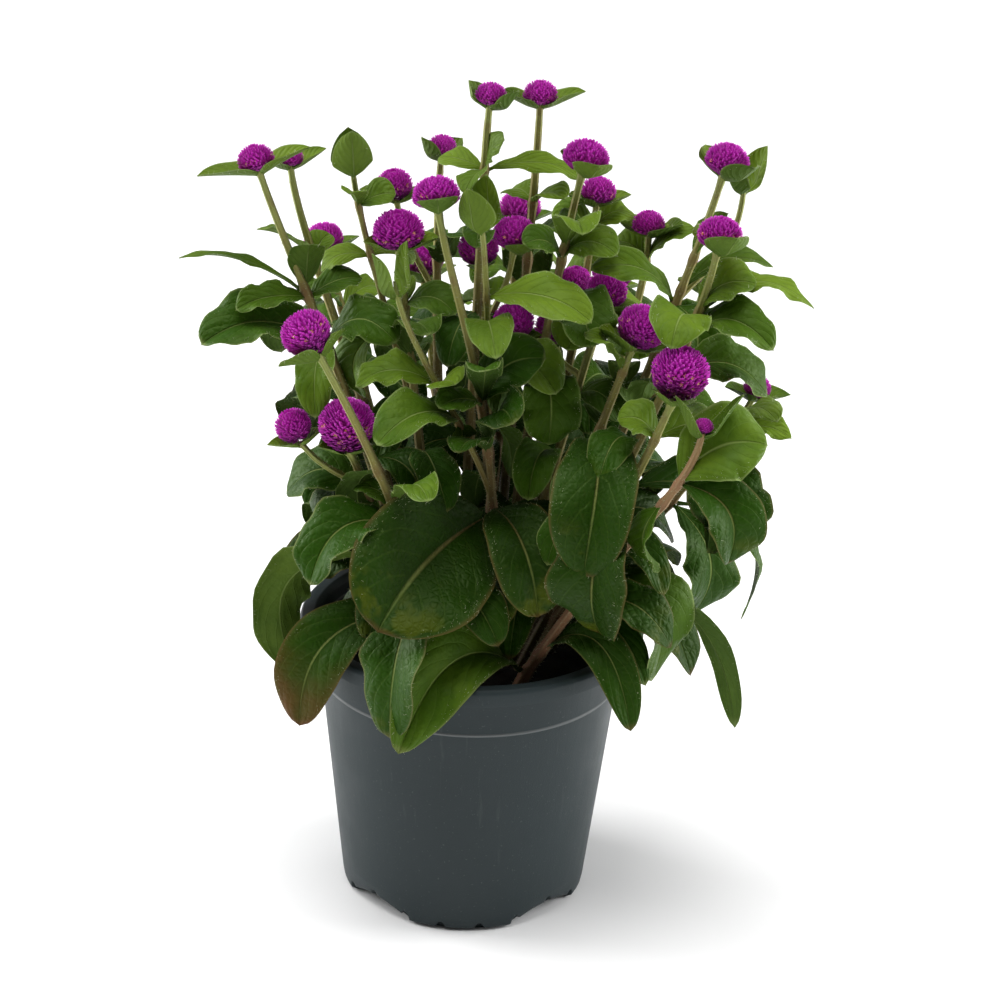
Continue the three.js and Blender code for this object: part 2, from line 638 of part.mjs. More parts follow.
function pot() {
  const profile = [
    [0, 0], [ARCH_INNER, 0], [ARCH_OUTER, 0], [FOOT_RADIUS, 1.5], [wallRadius(12), 12],
    [SHOULDER_RADIUS, SHOULDER_HEIGHT], [SHOULDER_RADIUS + 1.6, RIM_FLOOR], [RIM_RADIUS - 1.8, RIM_FLOOR],
    [RIM_RADIUS - 1.5, RIM_EDGE], [RIM_RADIUS, RIM_EDGE], [RIM_RADIUS, POT_HEIGHT - 1.5],
    [RIM_RADIUS - 1, POT_HEIGHT], [RIM_RADIUS - 5.6, POT_HEIGHT], [SHOULDER_RADIUS - 0.3, RIM_FLOOR],
    [wallRadius(12) - WALL, 12], [ARCH_OUTER - 0.3, WALL + 1.2], [ARCH_INNER, WALL], [0, WALL],
  ];
  const shell = lathe(profile, POT_SIDES);
  const position = shell.getAttribute("position");
  for (let i = 0; i < position.count; i += 1) {
    const [x, y, z] = [position.getX(i), position.getY(i), position.getZ(i)];
    if (z < ARCH_TOP) position.setZ(i, z + archLift(x, y));
  }
  const notches = [0, 1, 2, 3].flatMap((quarter) =>
    NOTCH_TURNS.map((notchTurn) => {
      const turn = notchTurn + (quarter * Math.PI) / 2;
      const floor = archLift(ARCH_OUTER * Math.cos(turn), ARCH_OUTER * Math.sin(turn));
      const cutter = new THREE.CylinderGeometry(NOTCH_WIDTH / 2, NOTCH_WIDTH / 2, 6, 6);
      cutter.rotateZ(Math.PI / 2);
      cutter.scale(1, 1, (2 * NOTCH_HEIGHT) / NOTCH_WIDTH);
      cutter.translate(FOOT_RADIUS, 0, floor);
      cutter.rotateZ(turn);
      return solidOfGeometry(cutter);
    }),
  );
  return solidOfGeometry(shell).subtract(wasm.Manifold.union(notches));
}

// The soil fills the pot up to its level, with a low mound in the middle and a plain hole for each stem.
const SOIL_SIDES = 16;
const HOLE_MARGIN = 0.4;

function soil(stems) {
  const inner = (z) => wallRadius(z) - WALL - 0.6;
  const profile = [
    [0, WALL + GAP], [ARCH_INNER - 1, WALL + GAP], [inner(12), 13], [inner(SOIL_LEVEL - 3), SOIL_LEVEL - 3],
    [inner(SOIL_LEVEL) - 3, SOIL_LEVEL - 0.5], [30, SOIL_LEVEL + 1], [0, SOIL_LEVEL + 1.5],
  ];
  const holes = stems.map(({ branches: [{ stations }] }) => {
    const wider = stations
      .slice(0, 2)
      .map((station) => ({ ...station, radius: station.radius + HOLE_MARGIN }));
    wider[0].centre = along(wider[0].centre, wider[0].direction, -GAP);
    return bar(wider, STEM_SIDES).solid;
  });
  return solidOfGeometry(lathe(profile, SOIL_SIDES)).subtract(wasm.Manifold.union(holes));
}

// Colours from the photograph.
const LOOKS = {
  pot: { color: 0x3f4a4e, roughness: 0.5, metalness: 0 },
  soil: { color: 0x16120f, roughness: 1, metalness: 0 },
  stem: { color: 0x4c7a2a, roughness: 0.6, metalness: 0 },
  flower: { color: 0xa02cae, roughness: 0.7, metalness: 0 },
};

const group = new THREE.Group();

function addMesh(name, solid, look) {
  const mesh = new THREE.Mesh(geometryOf(solid), new THREE.MeshStandardMaterial(LOOKS[look]));
  mesh.name = name;
  group.add(mesh);
}

// Every stem with its twigs, then the heads, then the bracts, then the leaves, so that what can bend yields.
const stems = Object.entries(LAYOUT).map(([name, row]) => {
  const main = { ...mainStem(row), name, origin: name, leaves: row.leaves ?? crossedPairs() };
  const twigs = (row.twigs ?? []).map((twigRow, k) => ({
    ...twig(main, twigRow),
    name,
    origin: `${name}_twig_${k + 1}`,
    leaves: twigRow.leaves,
  }));
  return { name, row, branches: [main, ...twigs] };
});
const branches = stems.flatMap((stem) => stem.branches);
const basal = stems.map(({ branches: [main], row }) => {
  const rows = row.leaves ? [...BASAL_LEAVES, ...MIDDLE_LEAVES] : BASAL_LEAVES;
  const free = rows.filter(([at]) => main.leaves.every(([own]) => own !== at));
  return { ...main, leaves: turnedLeaves(row, free) };
});
branches.forEach((part) => place(part.name, part.origin, part));

const potSolid = pot();
const soilSolid = soil(stems);
const edge = RIM_RADIUS + 1;
const potBox = [new THREE.Vector3(-edge, -edge, 0), new THREE.Vector3(edge, edge, POT_HEIGHT + 1)];
place("pot", "pot", { points: potBox, solid: potSolid });
place("soil", "soil", { points: potBox, solid: soilSolid });

const blooming = branches.filter((part) => !part.bloom.green);
blooming.forEach((part, k) => {
  const name = `flower_${String(k + 1).padStart(2, "0")}`;
  place(name, name, flowerHead(part.bloom));
});

branches.forEach((part) => {
  const skip = [part.origin, `${part.origin}_bract`];
  [0, 1].forEach((half) => {
    const make = ([turn, lift, shrink], extra) => {
      const length = (BRACT_STRETCH * part.length - BRACT_STEP * half) * shrink;
      const closure = THREE.MathUtils.clamp(part.closure + lift / CLOSING_ANGLE, 0, MOST_CLOSED);
      return bract(part.bloom, part.turn + half * Math.PI + radians(turn), length, closure, extra);
    };
    placeBlade(part.name, { name: skip[1], skip }, make);
  });
});

[...branches, ...basal].forEach((part) => {
  part.leaves.forEach(([at, x, y, z, width, arch, roll]) => {
    const base = part.curve.getPoint(at);
    const reach = new THREE.Vector3(x, y, z);
    const name = `${part.origin}_${at}`;
    const make = (row, extra) => {
      const [, , shrink] = row;
      return leaf(base, bend(reach, row).multiplyScalar(shrink), width * shrink, arch, roll, extra);
    };
    placeBlade(part.name, { name, skip: [part.origin, name] }, make);
  });
});

addMesh("pot", potSolid, "pot");
addMesh("soil", soilSolid, "soil");
for (const { name } of stems) {
  const grown = placed.filter((piece) => piece.node === name).map((piece) => piece.solid);
  addMesh(name, wasm.Manifold.union(grown), "stem");
}
for (const { node, solid } of placed.filter((piece) => piece.node.startsWith("flower"))) {
  addMesh(node, solid, "flower");
}

export default group;
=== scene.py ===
import math
import random

import bmesh
import bpy
from mathutils import Matrix, Vector
from mathutils.kdtree import KDTree


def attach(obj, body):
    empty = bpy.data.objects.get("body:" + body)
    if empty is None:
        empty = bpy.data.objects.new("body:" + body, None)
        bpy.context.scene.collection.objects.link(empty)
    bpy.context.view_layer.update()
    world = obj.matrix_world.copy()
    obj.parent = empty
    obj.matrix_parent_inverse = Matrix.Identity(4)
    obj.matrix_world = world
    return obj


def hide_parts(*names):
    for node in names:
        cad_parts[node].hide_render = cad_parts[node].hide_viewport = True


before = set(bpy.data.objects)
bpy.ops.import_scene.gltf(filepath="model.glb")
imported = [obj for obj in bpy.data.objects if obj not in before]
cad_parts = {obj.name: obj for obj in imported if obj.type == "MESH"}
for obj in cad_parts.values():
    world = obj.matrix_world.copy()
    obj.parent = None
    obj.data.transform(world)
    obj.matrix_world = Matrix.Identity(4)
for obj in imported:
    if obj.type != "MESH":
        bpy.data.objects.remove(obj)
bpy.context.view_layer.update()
scene = bpy.context.scene

# The pot is a thin-walled nursery pot, moulded in one piece from recycled polypropylene. Its rim
# is hooked over for stacking, and a fine line runs round the wall below it. The floor stands on
# four pads between low arches, with drain notches all round where it meets the wall.
MM = 0.001
POT_STEPS = 240
WALL = 1.5
FOOT_RADIUS = 50.5
SHOULDER_RADIUS = 63.2
SHOULDER_HEIGHT = 112
FLOOR_RADIUS = 42
PAD_RADIUS = 48
CORNER_ROUNDING = 0.45
ARCH_HEIGHT = 5.6
ARCH_HALF_WIDTH = math.radians(21)
ARCH_FADE = (1.5, 12)
NOTCH_TURNS = (9, 27, 45, 63, 81)
NOTCH_WIDTH = 4.5
NOTCH_RISE = 4.0
NOTCH_REACH = 3
NOTCH_SIDES = 20
SLATE_DARK = (0.017, 0.027, 0.030)
SLATE_LIGHT = (0.026, 0.036, 0.038)
FLOW_STREAK = (0.065, 0.072, 0.072)
# Painted highlights: pale lines round the wall at the ridge and at the shoulder, painted in place
# of the light those edges catch.
PAINTED_HIGHLIGHT_PALE = (0.17, 0.18, 0.18)
PAINTED_HIGHLIGHT_HEIGHTS = (0.0962, 0.1120)
DUST = (0.16, 0.16, 0.15)


def smooth(x, low, high):
    share = min(1, max(0, (x - low) / (high - low)))
    return share * share * (3 - 2 * share)


def wall_radius(z):
    return FOOT_RADIUS + (SHOULDER_RADIUS - FOOT_RADIUS) * z / SHOULDER_HEIGHT


def arch_lift(x, y):
    quarter = math.pi / 2
    off_middle = (math.atan2(y, x) % quarter) - quarter / 2
    spread = max(0, 1 - (off_middle / ARCH_HALF_WIDTH) ** 2)
    return ARCH_HEIGHT * spread * smooth(math.hypot(x, y), FLOOR_RADIUS, PAD_RADIUS)


def loft(rings):
    """Points and faces of a closed skin through rings that turn left about the way they follow.

    The first and the last ring are one point each.
    """
    faces = []
    start = 0
    for ring, following in zip(rings, rings[1:]):
        after = start + len(ring)
        sides = max(len(ring), len(following))
        for j in range(sides):
            k = (j + 1) % sides
            low = (start + j, start + k) if len(ring) > 1 else (start,)
            high = (after + k, after + j) if len(following) > 1 else (after,)
            faces.append(low + high)
        start = after
    return [point for ring in rings for point in ring], faces


def lathe(profile, steps):
    """A turned shell through (radius, height) pairs that start and end on the axis."""
    turns = [2 * math.pi * k / steps for k in reversed(range(steps))]
    rings = []
    for radius, z in profile:
        around = turns if radius else [0]
        rings.append([Vector((radius * math.cos(a), radius * math.sin(a), z)) for a in around])
    return loft(rings)


def rounded(profile, radius):
    """The profile with an arc of three points in place of each corner."""
    result = [profile[0]]
    for before, corner, after in zip(profile, profile[1:], profile[2:]):
        corner = Vector(corner)
        back = Vector(before) - corner
        on = Vector(after) - corner
        cut = min(radius, 0.4 * back.length, 0.4 * on.length)
        start = corner + back.normalized() * cut
        end = corner + on.normalized() * cut
        middle = (start + end + 2 * corner) / 4
        result += [tuple(start), tuple(middle), tuple(end)]
    return result + [profile[-1]]


def make_piece(name, points, faces, materials, sharp=math.radians(50)):
    """An object at the origin from points in millimetres."""
    mesh = bpy.data.meshes.new(name)
    mesh.from_pydata([point * MM for point in points], [], faces)
    for material in materials:
        mesh.materials.append(material)
    mesh.shade_smooth()
    mesh.set_sharp_from_angle(angle=sharp)
    obj = bpy.data.objects.new(name, mesh)
    scene.collection.objects.link(obj)
    return obj


def keep_shape(obj, modifier):
    """Makes what a modifier gives the plain mesh of its object, and removes the modifier."""
    evaluated = obj.evaluated_get(bpy.context.evaluated_depsgraph_get())
    mesh = bpy.data.meshes.new_from_object(evaluated)
    obj.modifiers.remove(modifier)
    obj.data = mesh


class Wire:
    """One value in a node tree. Arithmetic on it adds the Math nodes that work it out."""

    def __init__(self, tree, socket):
        self.tree = tree
        self.socket = socket

    def out(self, name):
        return Wire(self.tree, self.socket.node.outputs[name])

    def math(self, operation, *values):
        return self.tree.node("ShaderNodeMath", {"operation": operation}, dict(enumerate(values)))

    def __add__(self, other):
        return self.math("ADD", self, other)

    def __sub__(self, other):
        return self.math("SUBTRACT", self, other)

    def __rsub__(self, other):
        return self.math("SUBTRACT", other, self)

    def __mul__(self, other):
        return self.math("MULTIPLY", self, other)

    def __truediv__(self, other):
        return self.math("DIVIDE", self, other)

    def __pow__(self, other):
        return self.math("POWER", self, other)

    def __abs__(self):
        return self.math("ABSOLUTE", self)

    __radd__ = __add__
    __rmul__ = __mul__

    def sine(self):
        return self.math("SINE", self)

    def root(self):
        return self.math("SQRT", self)

    def ease(self, low, high, start=0.0, end=1.0):
        settings = {"interpolation_type": "SMOOTHSTEP"}
        limits = {"Value": self, "From Min": low, "From Max": high, "To Min": start, "To Max": end}
        return self.tree.node("ShaderNodeMapRange", settings, limits)


class Tree:
    """A node tree that is built one node at a time."""

    def __init__(self, tree):
        self.tree = tree

    def node(self, kind, settings={}, sockets={}, output=0):
        """A new node. Its settings come first, then the values or links of its sockets."""
        node = self.tree.nodes.new(kind)
        for name, value in settings.items():
            if name == "stops":
                stops = node.color_ramp.elements
                while len(stops) < len(value):
                    stops.new(1)
                for stop, (position, colour) in zip(stops, value):
                    stop.position = position
                    stop.color = (*colour, 1)
            else:
                setattr(node, name, value)
        for name, value in sockets.items():
            if isinstance(value, Wire):
                self.tree.links.new(value.socket, node.inputs[name])
            else:
                node.inputs[name].default_value = value
        return Wire(self, node.outputs[output] if len(node.outputs) else None)


class Finish(Tree):
    """A material on one Principled shader.

    What is the same all over the surface is set on the shader's own sockets.
    """

    def __init__(self, name, **constants):
        self.material = bpy.data.materials.new(name)
        self.material.use_nodes = True
        super().__init__(self.material.node_tree)
        self.shader = self.tree.nodes["Principled BSDF"]
        for socket, value in constants.items():
            self.shader.inputs[socket.replace("_", " ")].default_value = value

    def attribute(self, name):
        return self.node("ShaderNodeAttribute", {"attribute_name": name}, output="Fac")

    def place(self):
        return self.node("ShaderNodeTexCoord", output="Object")

    def noise(self, scale, detail=3.0, roughness=0.55, vector=None):
        sockets = {"Vector": vector or self.place(), "Scale": scale, "Detail": detail}
        return self.node("ShaderNodeTexNoise", {}, {**sockets, "Roughness": roughness})

    def colour(self, low, high, share):
        """A mix of two colours, each a wire or three numbers."""
        sockets = {"Factor": share}
        for name, value in {6: low, 7: high}.items():
            sockets[name] = value if isinstance(value, Wire) else (*value, 1)
        return self.node("ShaderNodeMix", {"data_type": "RGBA"}, sockets, 2)

    def drive(self, socket, wire):
        self.tree.links.new(wire.socket, self.shader.inputs[socket])

    def bump(self, height, distance):
        sockets = {"Height": height, "Distance": distance}
        self.drive("Normal", self.node("ShaderNodeBump", {}, sockets))


def moulded_plastic():
    finish = Finish("matte_slate_plastic", Specular_IOR_Level=0.22)
    place = finish.place()
    cloud = finish.noise(35, vector=place)
    grain = finish.noise(1800, 2, vector=place)
    stretched = finish.node("ShaderNodeMapping", {}, {"Vector": place, "Scale": (1, 1, 0.08)})
    streaks = finish.noise(240, 3, vector=stretched)
    slate = finish.colour(SLATE_DARK, SLATE_LIGHT, cloud)
    slate = finish.colour(slate, FLOW_STREAK, streaks.ease(0.62, 0.80, 0, 0.35))
    height = finish.node("ShaderNodeSeparateXYZ", {}, {0: place}, 2)
    # Painted highlights: a pale line round the wall at each of these heights, standing in for the
    # light caught along the ridge and the shoulder.
    for highlight_height in PAINTED_HIGHLIGHT_HEIGHTS:
        line = 1 - abs(height - highlight_height).ease(0.0002, 0.0009)
        slate = finish.colour(slate, PAINTED_HIGHLIGHT_PALE, line * 0.7)
    dust = finish.noise(900, 2, vector=place).ease(0.66, 0.74, 0, 0.18)
    finish.drive("Base Color", finish.colour(slate, DUST, dust))
    finish.drive("Roughness", cloud.ease(0.3, 0.7, 0.40, 0.50) + streaks * 0.08)
    finish.bump(grain * 0.6 + streaks * 0.4, 0.00012)
    return finish.material


underside = [
    (0, 0), (6, 0), (7, 0.5), (9, 0.5), (10, 0), (FLOOR_RADIUS, 0), (PAD_RADIUS, 0),
    (FOOT_RADIUS, 1.5),
]
outside = [
    *[(wall_radius(z), z) for z in (4, 7, 12, 40, 70, 95.4)],
    (wall_radius(95.8) + 0.35, 95.8), (wall_radius(96.4) + 0.35, 96.4), (wall_radius(96.8), 96.8),
]
rim = [
    (SHOULDER_RADIUS, SHOULDER_HEIGHT), (64.8, 117), (68.2, 117), (68.5, 113), (70, 113),
    (70, 118.5), (69, 120), (64.4, 120), (62.9, 117),
]
inside = [
    *[(wall_radius(z) - WALL, z) for z in (96, 70, 40, 12, 7)],
    (PAD_RADIUS - 0.3, WALL + 1.2), (FLOOR_RADIUS, WALL), (0, WALL),
]
pot_profile = rounded(underside + outside + rim + inside, CORNER_ROUNDING)
pot_points, pot_faces = lathe(pot_profile, POT_STEPS)
for point in pot_points:
    fade = 1 - (point.z - ARCH_FADE[0]) / (ARCH_FADE[1] - ARCH_FADE[0])
    point.z += arch_lift(point.x, point.y) * min(1, max(0, fade))
pot = make_piece("nursery_pot", pot_points, pot_faces, [moulded_plastic()])
cutter_points, cutter_faces = [], []
for degrees in [90 * quarter + notch for quarter in range(4) for notch in NOTCH_TURNS]:
    turn = math.radians(degrees)
    out = Vector((math.cos(turn), math.sin(turn), 0))
    side = Vector((-out.y, out.x, 0))
    sole = Vector((0, 0, arch_lift(*(out * PAD_RADIUS).xy)))
    section = [
        side * (NOTCH_WIDTH / 2 * math.cos(a)) + Vector((0, 0, NOTCH_RISE * math.sin(a)))
        for a in (2 * math.pi * k / NOTCH_SIDES for k in range(NOTCH_SIDES))
    ]
    near, far = [out * (FOOT_RADIUS + way * NOTCH_REACH) + sole for way in (-1, 1)]
    rings = [[near], *[[end + corner for corner in section] for end in (near, far)], [far]]
    points, faces = loft(rings)
    cutter_faces += [tuple(len(cutter_points) + corner for corner in face) for face in faces]
    cutter_points += points
cutter = make_piece("notch_cutter", cutter_points, cutter_faces, [])
cut = pot.modifiers.new("notches", "BOOLEAN")
cut.operation = "DIFFERENCE"
cut.solver = "EXACT"
cut.object = cutter
keep_shape(pot, cut)
bpy.data.objects.remove(cutter)
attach(pot, "root")
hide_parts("pot")

# The potting mix fills the pot to below its rim: dark peat with bark and fibre, heaped a little in
# the middle where the plugs were set. Loose crumbs lie on it, a little sunk.
SOIL_LEVEL = 100
SOIL_FOOT = WALL + 0.6
SOIL_GAP = 0.4
SOIL_STEPS = 96
SOIL_RINGS = (*range(4, 53, 4), 55, 58)
CRUMBS_PER_SQUARE_METRE = 160000
CRUMB_SIZE = (0.0007, 0.0023)
CRUMB_LUMPS = (0.65, 1.15)
CRUMB_FLATNESS = 0.7
CRUMB_TILT = 0.3
FULL_TURN = 6.283
PEAT_DARK = (0.006, 0.005, 0.0045)
PEAT_BROWN = (0.020, 0.014, 0.010)
PEAT_FIBRE = (0.055, 0.038, 0.024)


def new_tree(name, inputs):
    """A geometry node tree with named inputs after its geometry, and its input node as a Wire."""
    tree = Tree(bpy.data.node_groups.new(name, "GeometryNodeTree"))
    tree.tree.interface.new_socket("Geometry", in_out="INPUT", socket_type="NodeSocketGeometry")
    for label, kind in inputs.items():
        tree.tree.interface.new_socket(label, in_out="INPUT", socket_type="NodeSocket" + kind)
    tree.tree.interface.new_socket("Geometry", in_out="OUTPUT", socket_type="NodeSocketGeometry")
    return tree, tree.node("NodeGroupInput")


def end_tree(tree, geometry):
    tree.node("NodeGroupOutput", {}, {0: geometry})


def join(tree, *geometries):
    joined = tree.node("GeometryNodeJoinGeometry")
    for geometry in reversed(geometries):
        tree.tree.links.new(geometry.socket, joined.socket.node.inputs[0])
    return joined


def shape_by(tree, obj, values):
    """Runs a geometry node tree on an object and keeps the result as its plain mesh."""
    modifier = obj.modifiers.new("shape", "NODES")
    modifier.node_group = tree.tree
    for item in tree.tree.interface.items_tree:
        if item.in_out == "INPUT" and item.name in values:
            modifier[item.identifier] = values[item.name]
    keep_shape(obj, modifier)


def place_copies(tree, points, item, turn, size):
    """Copies of one object, each at a point with its own turn and size."""
    shape = tree.node("GeometryNodeObjectInfo", {}, {"Object": item}, "Geometry")
    sockets = {"Points": points, "Instance": shape, "Rotation": turn, "Scale": size}
    return tree.node("GeometryNodeInstanceOnPoints", {}, sockets)


def end_copies(tree, copies):
    """The copies as a plain mesh."""
    return tree.node("GeometryNodeRealizeInstances", {}, {0: copies})


def dress(tree, geometry, material):
    """The geometry in one material."""
    return tree.node("GeometryNodeSetMaterial", {}, {0: geometry, "Material": material})


def peat():
    finish = Finish("damp_peat", Specular_IOR_Level=0.2)
    place = finish.place()
    clods = finish.noise(260, 4, vector=place)
    fine = finish.noise(1500, 3, vector=place)
    dark = finish.colour(PEAT_DARK, PEAT_BROWN, clods.ease(0.35, 0.7))
    finish.drive("Base Color", finish.colour(dark, PEAT_FIBRE, fine.ease(0.60, 0.72, 0, 0.5)))
    finish.drive("Roughness", clods.ease(0.3, 0.7, 0.80, 0.97))
    finish.bump(clods + fine * 0.4, 0.0009)
    return finish.material


def crumb_tree(material):
    tree, given = new_tree("loose crumbs", {
        "Crumb": "Object", "Density": "Float", "Smallest": "Float", "Largest": "Float",
        "Lowest": "Float", "Seed": "Int",
    })
    seed = given.out("Seed")
    height = tree.node("ShaderNodeSeparateXYZ", {}, {0: tree.node("GeometryNodeInputPosition")}, 2)
    upward = tree.node("ShaderNodeSeparateXYZ", {}, {0: tree.node("GeometryNodeInputNormal")}, 2)
    high = height.math("GREATER_THAN", height, given.out("Lowest"))
    on_top = high * upward.math("GREATER_THAN", upward, CRUMB_TILT)
    sockets = {"Mesh": given, "Selection": on_top, "Density": given.out("Density"), "Seed": seed}
    points = tree.node("GeometryNodeDistributePointsOnFaces", {}, sockets)
    turn = tree.node("FunctionNodeRandomValue", {"data_type": "FLOAT_VECTOR"},
                     {"Max": (FULL_TURN, FULL_TURN, FULL_TURN), "Seed": seed})
    share = tree.node("FunctionNodeRandomValue", {}, {"Seed": seed}, 1)
    size = given.out("Smallest") + (given.out("Largest") - given.out("Smallest")) * share ** 3
    crumbs = end_copies(tree, place_copies(tree, points, given.out("Crumb"), turn, size))
    end_tree(tree, dress(tree, join(tree, given, crumbs), material))
    return tree


def bed_height(x, y):
    """The uneven top of the mix: a low mound with hollows between the stems."""
    mound = 1.3 - 2.2 * smooth(math.hypot(x, y), 24, 60)
    swell = 0.7 * math.sin(0.21 * x + 1.3) * math.cos(0.17 * y)
    return SOIL_LEVEL + mound + swell + 0.4 * math.sin(0.5 * (x - y))


buried = [
    Vector((FLOOR_RADIUS - 1, 0, SOIL_FOOT)),
    Vector((wall_radius(12) - WALL - SOIL_GAP, 0, 13)),
    Vector((wall_radius(92) - WALL - SOIL_GAP, 0, 92)),
]
open_top = [Vector((radius, 0, 0)) for radius in reversed(SOIL_RINGS)]
soil_turns = [-2 * math.pi * k / SOIL_STEPS for k in range(SOIL_STEPS)]
soil_rings = [
    [Matrix.Rotation(turn, 3, "Z") @ point for turn in soil_turns] for point in buried + open_top
]
soil_rings = [[Vector((0, 0, SOIL_FOOT))], *soil_rings, [Vector((0, 0, 0))]]
for ring in soil_rings[1 + len(buried):]:
    for point in ring:
        point.z = bed_height(point.x, point.y)
soil_points, soil_faces = loft(soil_rings)
bed = make_piece("potting_mix", soil_points, soil_faces, [])
crumb_random = random.Random(11)
crumb_mesh = bpy.data.meshes.new("crumb")
crumb_builder = bmesh.new()
bmesh.ops.create_icosphere(crumb_builder, subdivisions=1, radius=0.5)
for vertex in crumb_builder.verts:
    vertex.co *= crumb_random.uniform(*CRUMB_LUMPS)
    vertex.co.z *= CRUMB_FLATNESS
crumb_builder.to_mesh(crumb_mesh)
crumb_builder.free()
crumb = bpy.data.objects.new("crumb", crumb_mesh)
shape_by(crumb_tree(peat()), bed, {
    "Crumb": crumb, "Density": CRUMBS_PER_SQUARE_METRE, "Smallest": CRUMB_SIZE[0],
    "Largest": CRUMB_SIZE[1], "Lowest": (SOIL_LEVEL - 5) * MM, "Seed": 3,
})
bpy.data.objects.remove(crumb)
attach(bed, "root")
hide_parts("soil")

# The stems stand in the potting mix, soft and green at the tip and reddish brown and woody towards
# the soil. Each is one grown piece with its twigs, and swells where a pair of leaves is joined on.
STEM_DEPTH = 17
STEM_RADII = (2.35, 1.3)
TWIG_RADII = (1.45, 1.1)
STEM_SIDES = 12
STEM_STEP = 2.5
BUD_RADIUS = 4.5
SEAT_GAP = 0.3
NECK_ROOM = 4
NECK_STATIONS = (1.35, 1.7, 2.0)
JOINT_SWELL = 0.3
JOINT_REACH = 3.0
STEM_RIBS = 5
STEM_STOPS = [
    (0.0, (0.310, 0.350, 0.090)), (0.3, (0.280, 0.260, 0.065)), (0.65, (0.160, 0.115, 0.034)),
    (1.0, (0.055, 0.038, 0.016)),
]
STEM_BLUSH = (0.19, 0.095, 0.055)
JOINT_RED = (0.16, 0.055, 0.030)
WOODY_RED = (0.34, 0.170, 0.095)
RIB_PALE = (0.25, 0.25, 0.13)
FLUSHED = {"stem_17": 0.75}
UP = Vector((0, 0, 1))

